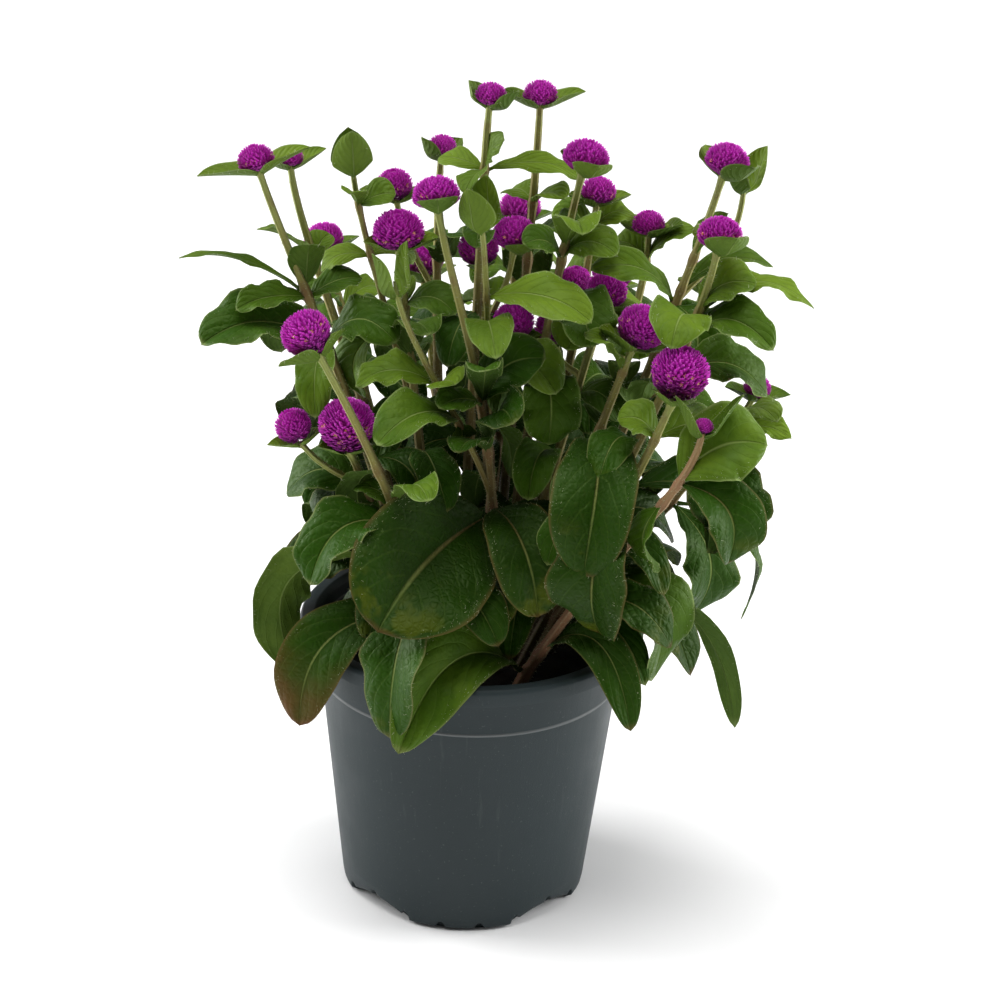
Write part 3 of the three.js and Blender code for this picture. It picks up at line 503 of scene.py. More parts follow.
# A course runs from the foot in the soil over a knee and a neck to the middle of the flower head,
# in millimetres. A bloom is the head's width (0 is a green bud), the turn in degrees, length and
# closure of the two bracts below it, and the head's depth as a share of its radius. A leaf is its
# place along the stem, the way from there to its tip, its width, its arch and its roll in degrees.
LAYOUT = {
    "stem_01": {
        "course": [(-7, 5), (0, 5, 242), (-2, 5, 316), (1, 5, 337)],
        "bloom": (13, -25, 15, 1, 0.4),
        "leaves": [
            (0.73, 38, 8, -2, 8, 0.1, 0), (0.73, -18, 10, 2, 9, 0.1, 0),
            (0.73, 7, -10, 16, 9, 0.1, 60), (0.73, -7, -18, -3, 9, 0.1, 30),
            (0.58, -11, 24, -17, 14, 0.2, 0), (0.58, 17, -20, 0, 14, 0.2, 0),
        ],
    },
    "stem_02": {
        "course": [(6, 10), (16, 15, 239), (20, 20, 300), (20, 20, 334)],
        "bloom": (14, 5, 16, 0.4, 0.4),
        "leaves": [
            (0.68, -10, 15, 0, 12, 0.15, 0), (0.68, 12, -13, 7, 12, 0.15, 0),
            (0.56, 2, 33, -21, 16, 0.2, 0), (0.56, 13, -37, 10, 14, 0.2, 0),
        ],
    },
    "stem_03": {
        "course": [(-16, 2), (-32, -8, 186), (-77, -5, 273), (-88, -5, 311)],
        "bloom": (15, 185, 20, 0.1, 0.4),
        "leaves": [
            (0.67, -48, -3, 17, 6, 0.08, 20), (0.68, 2, -7, 21, 12, 0.1, 10),
            (0.66, -27, -13, 0, 10, 0.1, 0), (0.66, 20, 5, 8, 11, 0.1, 0),
            (0.57, -47, -17, 8, 19, 0.12, -5), (0.57, 27, -13, 9, 16, 0.25, 20),
            (0.56, -25, -34, -5, 15, 0.3, 10),
        ],
    },
    "stem_04": {
        "course": [(-14, 10), (-35, 15, 194), (-76, 20, 274), (-77, 20, 305)],
        "bloom": (11, 20, 14, 0.5, 0.4),
        "leaves": [
            (0.7, -22, -5, 14, 12, 0.1, 40), (0.7, 5, 7, 9, 9, 0.1, 0),
            (0.55, -27, 43, -23, 20, 0.2, 0), (0.55, 18, -21, 9, 16, 0.2, 0),
            (0.42, -27, 34, -28, 24, 0.3, 0),
        ],
    },
    "stem_05": {
        "course": [(-8, 16), (-19, 30, 211), (-20, 36, 281), (-18, 36, 307)],
        "bloom": (12, 215, 14, 1, 0.5),
        "leaves": [
            (0.64, -10, 26, 0, 13, 0.2, 0), (0.64, 13, 10, -3, 13, 0.2, 0),
            (0.49, -16, 35, -20, 20, 0.2, 0), (0.49, 17, 9, -9, 16, 0.2, 0),
        ],
        "twigs": [
            {
                "from": 0.55,
                "course": [(-33, 28, 267), (-36, 25, 294)],
                "bloom": (15, 170, 13, 0.2, 0.7),
            },
        ],
    },
    "stem_06": {
        "course": [(-4, -9), (26, -22, 190), (-13, -32, 267), (-18, -27, 306)],
        "bloom": (19, -85, 15, 1.05, 0.4),
        "leaves": [
            (0.51, -16, -19, 7, 11, 0.1, 0), (0.51, 23, -5, 23, 17, 0.15, 30),
            (0.51, 1, -39, 30, 11, 0.1, 0), (0.49, 16, 33, -26, 11, 0.1, 0),
            (0.42, -11, -29, 13, 12, 0.12, 20), (0.42, 9, -35, 28, 15, 0.2, 30),
            (0.17, 2, -36, 4, 23, 0.25, 0), (0.31, -42, -62, -22, 42, 0.08, -30),
            (0.32, 20, -40, -26, 24, 0.25, 0),
        ],
        "twigs": [
            {
                "from": 0.34,
                "course": [(-29, -36, 250), (-33, -35, 275)],
                "bloom": (0, 20, 20, 1.2, 1),
                "leaves": [
                    (0.51, 7, -14, 5, 13, 0.1, 10), (0.51, -32, 0, 1, 13, 0.15, 0),
                    (0.35, -30, -30, 4, 17, 0.2, 0), (0.35, 7, -4, -9, 16, 0.2, 20),
                ],
            },
        ],
    },
    "stem_07": {
        "course": [(-10, -4), (-23, -6, 207), (-31, 0, 255), (-33, -2, 283)],
        "bloom": (21, 0, 14, 0.3, 0.5),
        "leaves": [
            (0.72, -21, 11, -3, 15, 0.2, 0), (0.72, 20, -9, 1, 15, 0.2, 0),
            (0.56, 2, -38, 19, 16, 0.25, 0), (0.56, -17, 28, -14, 18, 0.2, 0),
        ],
        "twigs": [
            {
                "from": 0.4,
                "course": [(-50, 5, 284), (-52, 5, 310)],
                "bloom": (0, -80, 19, 1.25, 1),
                "leaves": [
                    (0.8, -3, -14, 10, 8, 0.1, 0), (0.8, 14, 0, 6, 11, 0.1, 0),
                    (0.62, -20, 2, -6, 9, 0.15, 0), (0.62, 15, 20, -7, 13, 0.15, 0),
                    (0.39, -24, -12, -23, 18, 0.3, 0),
                ],
            },
        ],
    },
    "stem_08": {
        "course": [(2, 0), (9, 11, 205), (0, 19, 250), (-2, 20, 271)],
        "bloom": (17, 90, 13, 0.05, 0.8),
        "leaves": [
            (0.75, -12, 13, -16, 14, 0.2, 0), (0.75, 16, 17, -5, 14, 0.2, 0),
            (0.56, -8, -24, 6, 18, 0.3, 0),
        ],
        "twigs": [
            {
                "from": 0.64,
                "course": [(12, 0, 261), (12, 0, 283)],
                "bloom": (18, -60, 14, 0.6, 0.5),
            },
            {
                "from": 0.51,
                "course": [(13, -2, 228), (13, -1, 248)],
                "bloom": (17, 0, 10, 0.1, 0.8),
            },
            {
                "from": 0.38,
                "course": [(3, -34, 273), (-1, -32, 301)],
                "bloom": (0, 60, 20, 1.2, 1),
                "leaves": [
                    (0.48, -11, -41, 8, 14, 0.2, 0), (0.64, 40, -18, 0, 17, 0.14, 0),
                    (0.35, 24, -29, 6, 20, 0.2, 0),
                ],
            },
        ],
    },
    "stem_09": {
        "course": [(8, 1), (21, 0, 224), (32, -6, 288), (38, -5, 316)],
        "bloom": (19, -70, 16, 0.95, 0.4),
        "leaves": [
            (0.67, -20, -10, 2, 14, 0.2, 0), (0.67, 22, -6, 8, 14, 0.25, 0),
            (0.7, 6, -30, 17, 14, 0.2, 0), (0.58, 15, -23, -10, 20, 0.25, 0),
            (0.58, -20, 23, -18, 18, 0.2, 0), (0.46, 4, -20, -27, 18, 0.3, 0),
        ],
    },
    "stem_10": {
        "course": [(10, 16), (37, 30, 204), (43, 44, 264), (45, 45, 288)],
        "bloom": (15, 20, 13, 0.3, 0.5),
        "leaves": [
            (0.82, 17, 7, 7, 12, 0.2, 0), (0.82, -16, -3, 7, 12, 0.2, 0),
            (0.69, 20, 23, -1, 16, 0.2, 0), (0.69, -11, 19, -13, 16, 0.2, 0),
            (0.53, 24, 14, -8, 20, 0.2, 0), (0.53, -11, 30, -16, 20, 0.2, 0),
        ],
        "twigs": [
            {
                "from": 0.55,
                "course": [(37, 32, 238), (37, 30, 255)],
                "bloom": (14, 0, 11, 0.1, 0.7),
            },
        ],
    },
    "stem_11": {
        "course": [(16, 3), (54, 0, 191), (83, -6, 276), (92, -5, 317)],
        "bloom": (18, -50, 17, 0.85, 0.45),
        "leaves": [
            (0.75, 12, 3, 18, 9, 0.1, 0), (0.65, -27, -6, 35, 14, 0.2, 0),
            (0.65, 0, -20, -23, 24, 0.3, 0), (0.68, 36, 14, 8, 9, 0.15, 0),
            (0.56, 26, -17, 15, 22, 0.3, 0), (0.56, -14, 23, -10, 18, 0.2, 0),
        ],
        "twigs": [
            {
                "from": 0.66,
                "course": [(101, 16, 272), (101, 14, 306)],
                "bloom": (0, 30, 18, 1, 1),
            },
        ],
    },
    "stem_12": {
        "course": [(13, -9), (58, -22, 196), (86, -38, 261), (89, -35, 297)],
        "bloom": (18, -70, 17, 0.8, 0.5),
        "leaves": [
            (0.77, 21, 0, 12, 16, 0.2, 0), (0.75, 44, -6, 6, 10, 0.25, -15),
            (0.72, -9, -26, 3, 18, 0.3, 0), (0.68, 32, -17, 6, 15, 0.3, 0),
            (0.58, 39, 0, -1, 18, 0.3, 0), (0.58, -9, 20, -14, 18, 0.2, 0),
            (0.16, 75, -29, -36, 12, 0.35, 0),
        ],
    },
    "stem_13": {
        "course": [(14, 14), (50, 30, 196), (69, 46, 247), (66, 45, 275)],
        "bloom": (14, -30, 15, 0.5, 0.4),
        "leaves": [
            (0.84, 16, -4, 19, 10, 0.15, 0), (0.84, -14, 8, 6, 12, 0.2, 0),
            (0.62, 26, 26, -3, 20, 0.2, 0), (0.62, 4, -20, -1, 18, 0.2, 0),
            (0.46, 20, 36, -22, 26, 0.3, 0),
        ],
    },
    "stem_14": {
        "course": [(7, -4), (30, -8, 189), (44, 4, 236), (49, 5, 260)],
        "bloom": (17, 0, 13, 0.1, 0.7),
        "leaves": [
            (0.82, 19, 16, 6, 15, 0.2, 0), (0.82, -14, -14, -2, 16, 0.2, 0),
            (0.59, 19, 30, -16, 20, 0.3, 0), (0.59, -8, -36, 5, 20, 0.3, 0),
        ],
        "twigs": [
            {
                "from": 0.65,
                "course": [(31, 10, 222), (29, 10, 242)],
                "bloom": (16, 0, 11, 0.1, 0.7),
            },
        ],
    },
    "stem_15": {
        "course": [(12, -5), (40, -16, 184), (54, -26, 235), (62, -25, 256)],
        "bloom": (20, 200, 15, 0.05, 0.8),
        "leaves": [
            (0.78, -10, -10, 25, 10, 0.1, 0), (0.78, 19, 18, -22, 14, 0.2, 0),
            (0.55, -4, -52, -34, 25, 0.3, 0), (0.58, 26, 17, -10, 20, 0.2, 0),
        ],
    },
    "stem_16": {
        "course": [(16, -14), (50, -42, 178), (71, -56, 221), (76, -55, 249)],
        "bloom": (23, -100, 16, 0.1, 0.88),
        "leaves": [
            (0.72, -14, 2, 8, 14, 0.2, 0), (0.72, 31, 22, -12, 20, 0.2, 0),
            (0.55, 35, 17, -30, 22, 0.3, 0), (0.5, -17, -39, -42, 29, 0.4, 0),
            (0.2, 35, -33, -11, 10, 0.3, 0), (0.27, 30, -23, -29, 24, 0.5, 0),
            (0.34, 7, -50, -11, 16, 0.4, 0),
        ],
    },
    "stem_17": {
        "course": [(12, -22), (49, -62, 181), (83, -74, 206), (85, -70, 234)],
        "bloom": (8, 10, 20, 0.9, 0.5),
        "leaves": [
            (0.73, 32, 4, 17, 24, 0.2, 20), (0.73, 21, -11, -26, 19, 0.3, 20),
            (0.64, -7, -3, -24, 16, 0.3, 0), (0.1, -49, -50, -7, 21, 0.31, 0),
            (0.15, 36, -40, -10, 13, 0.4, 20),
        ],
    },
    "stem_18": {
        "course": [(-9, -15), (-15, -50, 167), (-47, -56, 230), (-65, -48, 257)],
        "bloom": (20, 200, 14, 0.1, 0.85),
        "leaves": [
            (0.42, -35, -21, -13, 19, 0.3, 0), (0.48, 14, -38, 22, 12, 0.1, 0),
            (0.57, -11, 19, -30, 17, 0.4, 0), (0.25, -12, -45, -36, 22, 0.35, 30),
            (0.22, -51, -16, -42, 21, 0.3, 0),
        ],
    },
    "stem_19": {
        "course": [(-16, -6), (-29, -24, 163), (-48, -36, 193), (-50, -37, 216)],
        "bloom": (23, 0, 12, 0.1, 0.88),
        "leaves": [
            (0.6, -41, -9, 13, 24, 0.3, 0), (0.58, -26, -14, -16, 28, 0.4, 0),
            (0.56, -49, 20, -12, 18, 0.3, 0), (0.38, -40, -8, -46, 20, 0.42, 60),
        ],
        "twigs": [
            {
                "from": 0.65,
                "course": [(-64, -32, 195), (-71, -32, 213)],
                "bloom": (15, 180, 11, 0.1, 0.88),
            },
        ],
    },
    "stem_20": {
        "course": [(21, 5), (67, 6, 162), (106, 20, 193), (112, 20, 216)],
        "bloom": (12, 20, 14, 0.1, 0.6),
        "leaves": [
            (0.76, 24, -8, 2, 9, 0.1, 0), (0.72, 17, -37, 26, 13, 0.15, 0),
            (0.59, 15, -29, -20, 26, 0.3, 0), (0.48, 13, -13, -43, 20, 0.3, 0),
            (0.48, 35, 7, -53, 9, 0.3, 0),
        ],
    },
    "stem_21": {
        "course": [(-17, 15), (-34, 34, 170), (-60, 58, 232), (-66, 62, 258)],
        "bloom": (17, 30, 14, 0.15, 0.6),
    },
    "stem_22": {
        "course": [(-5, 22), (-12, 44, 165), (-24, 78, 222), (-26, 84, 244)],
        "bloom": (19, 30, 14, 0.15, 0.8),
    },
    "stem_23": {
        "course": [(3, 19), (8, 40, 190), (14, 66, 246), (14, 70, 272)],
        "bloom": (18, 30, 14, 0.15, 0.5),
    },
    "stem_24": {
        "course": [(12, 23), (30, 52, 160), (50, 86, 216), (54, 92, 238)],
        "bloom": (18, 30, 14, 0.15, 0.7),
    },
    "stem_25": {
        "course": [(21, 14), (54, 34, 170), (88, 58, 224), (92, 62, 248)],
        "bloom": (16, 30, 14, 0.15, 0.6),
    },
}


class Course:
    """The middle line of a stem: a cubic curve over its control points."""

    def __init__(self, *points):
        self.points = [Vector(point) for point in points]

    def point(self, t):
        a, b, c, d = self.points
        near_foot = a * (1 - t) ** 3 + b * (3 * t * (1 - t) ** 2)
        return near_foot + c * (3 * t * t * (1 - t)) + d * t ** 3

    def tangent(self, t):
        a, b, c, d = self.points
        rise = (b - a) * (1 - t) ** 2 + (c - b) * (2 * t * (1 - t)) + (d - c) * t * t
        return rise.normalized()


class Branch:
    """A stem or twig: its course, radii and leaf rows, and the seat and size of its head.

    last is where its skin leaves the course to meet the seat, short of the head and its bracts.
    """

    def __init__(self, course, bloom, radii, leaves, start):
        self.course = course
        width, turn, self.length, self.closure, self.depth = bloom
        self.turn = math.radians(turn)
        self.radii = radii
        self.leaves = leaves
        self.start = start
        self.green = width == 0
        self.head = course.points[3]
        self.axis = (course.points[3] - course.points[2]).normalized()
        self.radius = BUD_RADIUS if self.green else width / 2
        below = 0 if self.green else self.depth * self.radius + SEAT_GAP
        self.seat = self.head - self.axis * below
        self.flare = 0.5 if self.green else max(radii[1], 0.2 * self.radius)
        room = self.radius + NECK_ROOM
        self.last = 1.0
        while self.near(self.seat) < room / 2 or self.near(self.head) < room:
            self.last -= 0.01

    def near(self, point):
        return (self.course.point(self.last) - point).length

    def age(self, at):
        """1 at the soil and 0 at the tip, for a twig from where it leaves its stem."""
        return (1 - self.start) * (1 - at)


def twig_course(parent, start_at, neck, end):
    """A twig leaves its stem halfway between the stem's way and its own."""
    start = parent.point(start_at)
    heading = ((Vector(neck) - start).normalized() + parent.tangent(start_at)).normalized()
    return Course(start, start + heading * (0.3 * (start - Vector(end)).length), neck, end)


def crossed_pairs():
    """Pairs of leaves for the stems at the back, each a quarter turn on from the last."""
    rows = []
    for k, (at, length, rise) in enumerate(((0.38, 38, -12), (0.56, 34, -4), (0.74, 24, 4))):
        for half in (0, 1):
            turn = math.pi * (half + k / 2 + 0.25)
            x, y = length * math.cos(turn), length * math.sin(turn)
            rows.append((at, x, y, rise, 0.42 * length, 0.2, 0))
    return rows


def turned_leaves(course, rows):
    """Leaf rows from rows of place, turn from the stem's lean, length, rise, width and arch."""
    foot, knee = course[:2]
    lean = math.atan2(knee[1] - foot[1], knee[0] - foot[0])
    result = []
    for at, turn, length, rise, width, arch in rows:
        heading = lean + math.radians(turn)
        x, y = length * math.cos(heading), length * math.sin(heading)
        result.append((at, x, y, rise, width, arch, 0))
    return result


class Foliage:
    """The points, faces and surface values of one leafy stem as it grows."""

    def __init__(self):
        self.points = []
        self.faces = []
        self.on_point = {"age": [], "tint": [], "joint": [], "dry": []}
        self.underside = []
        self.kind = []
        self.uvs = []

    def add(self, rings, marks, sides, kind):
        """Adds a closed skin with a mark per point: (u, v, age, tint, joint, dry).

        sides gives 1 for the faces that lie on the underside, by their share of the way round.
        """
        start = len(self.points)
        points, faces = loft(rings)
        self.points += points
        self.uvs += [(u, v) for u, v, *_ in marks]
        for name, values in zip(self.on_point, zip(*[mark[2:] for mark in marks])):
            self.on_point[name] += values
        for face in faces:
            self.faces.append(tuple(start + corner for corner in face))
            self.kind.append(kind)
        for ring, following in zip(rings, rings[1:]):
            count = max(len(ring), len(following))
            self.underside += [sides(j / count) for j in range(count)]

    def piece(self, name, materials):
        obj = make_piece(name, self.points, self.faces, materials)
        mesh = obj.data
        mesh.polygons.foreach_set("material_index", self.kind)
        for label, values in self.on_point.items():
            mesh.attributes.new(label, "FLOAT", "POINT").data.foreach_set("value", values)
        mesh.attributes.new("underside", "FLOAT", "FACE").data.foreach_set("value", self.underside)
        layer = mesh.uv_layers.new(name="along").data
        for loop in mesh.loops:
            layer[loop.index].uv = self.uvs[loop.vertex_index]
        return obj


def grow_stem(foliage, branch, flush, plant_random):
    """A tube with a ring every few millimetres, swollen at its joints and flared at the head."""
    length = (branch.course.point(branch.last) - branch.course.point(0)).length
    count = max(6, round(length / STEM_STEP))
    joints = sorted({row[0] for row in branch.leaves if row[0] > 0.05})
    tint = plant_random.uniform(-1, 1)
    rings = [[branch.course.point(0)]]
    marks = [(0, 0, 1, tint, 0, flush)]
    stations = [branch.last * k / count for k in range(count + 1)]
    across = Vector((1, 0, 0))
    for t in [*stations, *NECK_STATIONS]:
        if t <= branch.last:
            centre, direction = branch.course.point(t), branch.course.tangent(t)
            radius = branch.radii[0] + (branch.radii[1] - branch.radii[0]) * t
            offsets = [(t - joint) * length / JOINT_REACH for joint in joints]
            near = max([math.exp(-(offset ** 2)) for offset in offsets], default=0)
        else:
            share = t - 1
            centre = branch.course.point(branch.last).lerp(branch.seat, share)
            direction = branch.course.tangent(branch.last).lerp(branch.axis, share).normalized()
            radius = branch.radii[1] + (branch.flare - branch.radii[1]) * share ** 2
            near = 0
        across = (across - direction * across.dot(direction)).normalized()
        back = direction.cross(across)
        radius *= 1 + JOINT_SWELL * near
        age = max(0, branch.age(t))
        ring = []
        for k in range(STEM_SIDES):
            turn = 2 * math.pi * k / STEM_SIDES
            out = across * (radius * math.cos(turn))
            ring.append(centre + out + back * (radius * math.sin(turn)))
            marks.append((k / STEM_SIDES, t * length / 10, age, tint, near, flush))
        rings.append(ring)
    rings.append([branch.seat])
    marks.append((0, 0, 0, tint, 0, flush))
    foliage.add(rings, marks, lambda share: 0.0, 1)


def on_skin(finish):
    """Where a point is on its skin: x round a stem or along a blade, y along or across it."""
    place = finish.node("ShaderNodeUVMap", {"uv_map": "along"})
    return finish.node("ShaderNodeSeparateXYZ", {}, {0: place})


def stem_skin():
    finish = Finish("hairy_stem", Specular_IOR_Level=0.25, Sheen_Weight=0.06, Sheen_Roughness=0.4,
                    Sheen_Tint=(1, 0.95, 0.8, 1))
    place = finish.place()
    age = finish.attribute("age")
    tint = finish.attribute("tint")
    patch = finish.noise(90, 3, vector=place)
    fine = finish.noise(900, 3, vector=place)
    ripeness = age + tint * 0.08 + (patch - 0.5) * 0.3
    ramp = finish.node("ShaderNodeValToRGB", {"stops": STEM_STOPS}, {0: ripeness})
    skin = finish.colour(ramp, STEM_BLUSH, patch.ease(0.5, 0.7, 0, 0.40))
    skin = finish.colour(skin, JOINT_RED, finish.attribute("joint") * 0.5)
    skin = finish.colour(skin, WOODY_RED, finish.attribute("dry"))
    ribs = (on_skin(finish) * (STEM_RIBS * math.tau)).sine()
    skin = finish.colour(skin, RIB_PALE, ribs.ease(0.3, 1.0, 0, 0.25))
    finish.drive("Base Color", skin)
    finish.drive("Roughness", fine.ease(0.3, 0.7, 0.5, 0.7))
    finish.bump(ribs * 0.5 + fine * 0.5, 0.0004)
    return finish.material


# The leaves are thin, soft and hairy, joined on in pairs, each with a sunk midrib. The oldest, by
# the soil, are broad, dull and edged with red, and some dry out at the tip. Two cupped bracts, like
# small leaves, close in under each flower head.
LEAF_BREADTH = 1.4
LONG_LEAF = 24
LEAF_THICKNESS = 0.55
BRACT_THICKNESS = 0.5
THINNEST_HALF = 0.25
LONG_GRID, SHORT_GRID, BRACT_GRID = (24, 6), (15, 4), (16, 6)
FACING = 30
TWIST_SPREAD = (-12, 12)
SIDE_BOW = (-0.05, 0.05)
TIP_DROOP = (0.1, 0.5)
KEEL = (0.12, 0.38)
MARGIN_WAVES = (1.4, 2.8)
LONG_WAVES_DEPTH, SHORT_WAVES_DEPTH = (0.10, 0.22), (0.05, 0.12)
WAVE_PHASES = 6.28
BASAL_LEAVES = [(0.15, -35, 54, -10, 19, 0.4), (0.26, 45, 42, -4, 16, 0.3)]
MIDDLE_LEAVES = [(0.37, 100, 36, -14, 14, 0.25), (0.45, -100, 34, -6, 13, 0.25)]
BRACT_CLEARANCE = 1.6
BLADE_ROOT = 0.8
HAIRS_ON_MARGIN = 260000
HAIRS_ON_STEM = 380000
HAIR_LENGTH = (0.0006, 0.0015)
HAIR_SHARE = 0.055
HAIR_SINK = 0.1
MARGIN = 0.8
TIP_MATCH = 0.00006
LEAF_STOPS = [
    (0.0, (0.122, 0.198, 0.012)), (0.25, (0.050, 0.104, 0.005)), (0.55, (0.016, 0.056, 0.001)),
    (1.0, (0.010, 0.031, 0.001)),
]
MOTTLED_GREEN = (0.040, 0.060, 0.006)
VEIN_GREEN = (0.085, 0.150, 0.020)
YELLOWED = (0.085, 0.100, 0.005)
RIB_GREEN, RIB_BROWN = (0.25, 0.33, 0.09), (0.17, 0.115, 0.045)
FRINGE_PALE, FRINGE_RED = (0.28, 0.36, 0.12), (0.110, 0.045, 0.018)
DRIED_RED = (0.115, 0.030, 0.012)
UNDERSIDE_GREEN = (0.095, 0.145, 0.040)
HAIR_STRAW, HAIR_PALE = (0.42, 0.48, 0.26), (0.64, 0.66, 0.46)

# A blade that met a neighbour was bent clear of it when the frame was made, by one of these rows:
# turn and lift in degrees, then shrink.
BENDS = [
    (0, 0, 1), (10, 0, 1), (-10, 0, 1), (0, 8, 1), (0, -8, 1), (20, 0, 1), (-20, 0, 1), (0, 16, 1),
    (0, -16, 1), (12, 12, 0.9), (-12, 12, 0.9), (12, -12, 0.9), (-12, -12, 0.9), (30, 0, 0.85),
    (-30, 0, 0.85), (0, 26, 0.85), (0, -26, 0.85), (30, 20, 0.8), (-30, 20, 0.8), (30, -20, 0.8),
    (-30, -20, 0.8), (45, 10, 0.7), (-45, 10, 0.7), (60, -10, 0.65), (-60, -10, 0.65),
    (0, 38, 0.6), (0, -38, 0.6),
]

# Some leaves have habits of their own, by stem and by the first two numbers of their row: age,
# twist of the tip in degrees, and dryness.
HABITS = {
    "stem_12": {(0.16, 75): (0.2, -105, 0.1)},
    "stem_15": {(0.55, -4): (0.8, 0, 0.2)},
    "stem_16": {
        (0.27, 30): (0.25, -15, 0.2), (0.2, 35): (0.55, 20, 0.0), (0.5, -17): (0.9, 10, 0.5),
    },
    "stem_17": {
        (0.1, -49): (0.32, -60, 0.5), (0.15, 36): (0.7, 10, 0.1), (0.73, 32): (0.1, 0, 0.0),
        (0.73, 21): (0.75, 0, 0.0),
    },
    "stem_18": {
        (0.22, -51): (0.60, -50, 0.85), (0.25, -12): (0.65, 10, 0.1), (0.48, 14): (0.2, 0, 0.0),
    },
    "stem_19": {(0.38, -40): (0.08, 60, 0.2)},
}


def bent(reach, row):
    turn, lift, shrink = row
    reach = Matrix.Rotation(math.radians(turn), 3, "Z") @ reach
    return Matrix.Rotation(-math.radians(lift), 3, UP.cross(reach).normalized()) @ reach * shrink


def grown(tips, foretell):
    """The bend that a blade has in the frame, known by where its tip is.

    None says that the frame has no such blade.
    """
    for row in BENDS:
        if tips.find(foretell(row) * MM)[2] < TIP_MATCH:
            return row
    return None


def add_blade(foliage, stations, columns, fold, curl, thickness, age, tint, dry=0.0):
    """A thin closed blade, thickest at its midrib and its joint.

    A station is (centre, direction, side, half width, share of the length). fold and curl say how
    far the blade rises across it, as shares of the half width.
    """
    rings = [[stations[0][0] - stations[0][1] * BLADE_ROOT]]
    marks = [(0, 0.5, age, tint, 0, dry)]
    for centre, direction, side, half, share in stations:
        top = direction.cross(side).normalized()
        rows = ([], [])
        for k in range(-columns, columns + 1):
            v = -k / columns
            lift = half * fold(abs(v)) + curl(share, v) * half
            middle = centre + side * (half * v * (1 - 0.06 * abs(v))) + top * lift
            at_joint = 1 + 2.2 * math.exp(-share / 0.05)
            at_midrib = 1 + 1.1 * math.exp(-((v / 0.12) ** 2)) * (1 - share)
            body = thickness * (0.12 + 0.88 * (1 - abs(v)) ** 0.8) * at_joint * at_midrib
            mark = (share, 0.5 + v / 2, age, tint, 0, dry)
            rows[0].append((middle + top * (body * 0.4), mark))
            rows[1].append((middle - top * (body * 0.6), mark))
        margin_right = ((rows[0][0][0] + rows[1][0][0]) / 2, rows[0][0][1])
        margin_left = ((rows[0][-1][0] + rows[1][-1][0]) / 2, rows[0][-1][1])
        loop = [margin_right, *rows[0][1:-1], margin_left, *reversed(rows[1][1:-1])]
        rings.append([point for point, _ in loop])
        marks += [mark for _, mark in loop]
    centre, direction, *_ = stations[-1]
    rings.append([centre + direction * 0.4])
    marks.append((1, 0.5, age, tint, 0, dry))
    foliage.add(rings, marks, lambda at: float(at >= 0.5), 0)


def grow_leaf(foliage, base, reach, width, arch, roll, habit, plant_random):
    """A leaf from its joint along its reach.

    Its habit is its age, the twist of its tip in degrees and its dryness.
    """
    age, tip_twist, dry = habit
    length = reach.length
    way = reach.normalized()
    side = UP.cross(way).normalized()
    top = way.cross(side)
    crown = base + way * (length / 2) + top * (2 * arch * length)
    tip = base + reach
    side = Matrix.Rotation(math.radians(roll + FACING * way.x), 3, way) @ side
    long = length > LONG_LEAF
    rows, columns = LONG_GRID if long else SHORT_GRID
    blunt = smooth(age, 0.0, 0.4)
    twist = math.radians(plant_random.uniform(*TWIST_SPREAD) + tip_twist)
    bow = plant_random.uniform(*SIDE_BOW) * length
    droop = plant_random.uniform(*TIP_DROOP) * length
    keel = plant_random.uniform(*KEEL)
    waves = plant_random.uniform(*MARGIN_WAVES)
    phases = [plant_random.uniform(0, WAVE_PHASES) for _ in range(3)]
    depth = plant_random.uniform(*(LONG_WAVES_DEPTH if long else SHORT_WAVES_DEPTH))
    tint = plant_random.uniform(-1, 1)

    def curl(share, v):
        wave = math.sin(2 * math.pi * waves * share + phases[v > 0])
        ripple = math.sin(2 * math.pi * 2.3 * waves * share + phases[2] + 2 * v)
        margin = depth * (wave + 0.35 * ripple) * v * v * smooth(share, 0.05, 0.3)
        return margin - 0.14 * v * v * smooth(share, 0.7, 1)

    def fold(v):
        return keel * v + 0.08 * math.sin(math.pi * v)

    def middle(share):
        point = base * (1 - share) ** 2 + crown * (2 * share * (1 - share)) + tip * share ** 2
        point += side * (bow * math.sin(math.pi * share))
        return point - top * (droop * max(0, share - 0.6) ** 2)

    def outline(share):
        pointed = math.sin(math.pi * share ** 1.45) ** 0.6
        rounded_tip = math.sin(math.pi / 2 * min(1, share / 0.6)) ** 0.9
        rounded_tip *= (1 - max(0, (share - 0.6) / 0.4) ** 2.6) ** 0.55
        return pointed + (rounded_tip - pointed) * blunt

    stations = []
    for k in range(1, rows + 1):
        share = (k - 0.5) / rows if k < rows else 0.997
        share = 1 - (1 - share) ** 1.5
        direction = (middle(share + 0.01) - middle(share - 0.01)).normalized()
        across = Matrix.Rotation(twist * share, 3, direction) @ side
        across = (across - direction * across.dot(direction)).normalized()
        half = LEAF_BREADTH * width / 2 * outline(share) * smooth(share, -0.06, 0.16)
        half = max(THINNEST_HALF, half)
        stations.append((middle(share), direction, across, half, share))
    add_blade(foliage, stations, columns, fold, curl, LEAF_THICKNESS, age, tint, dry)


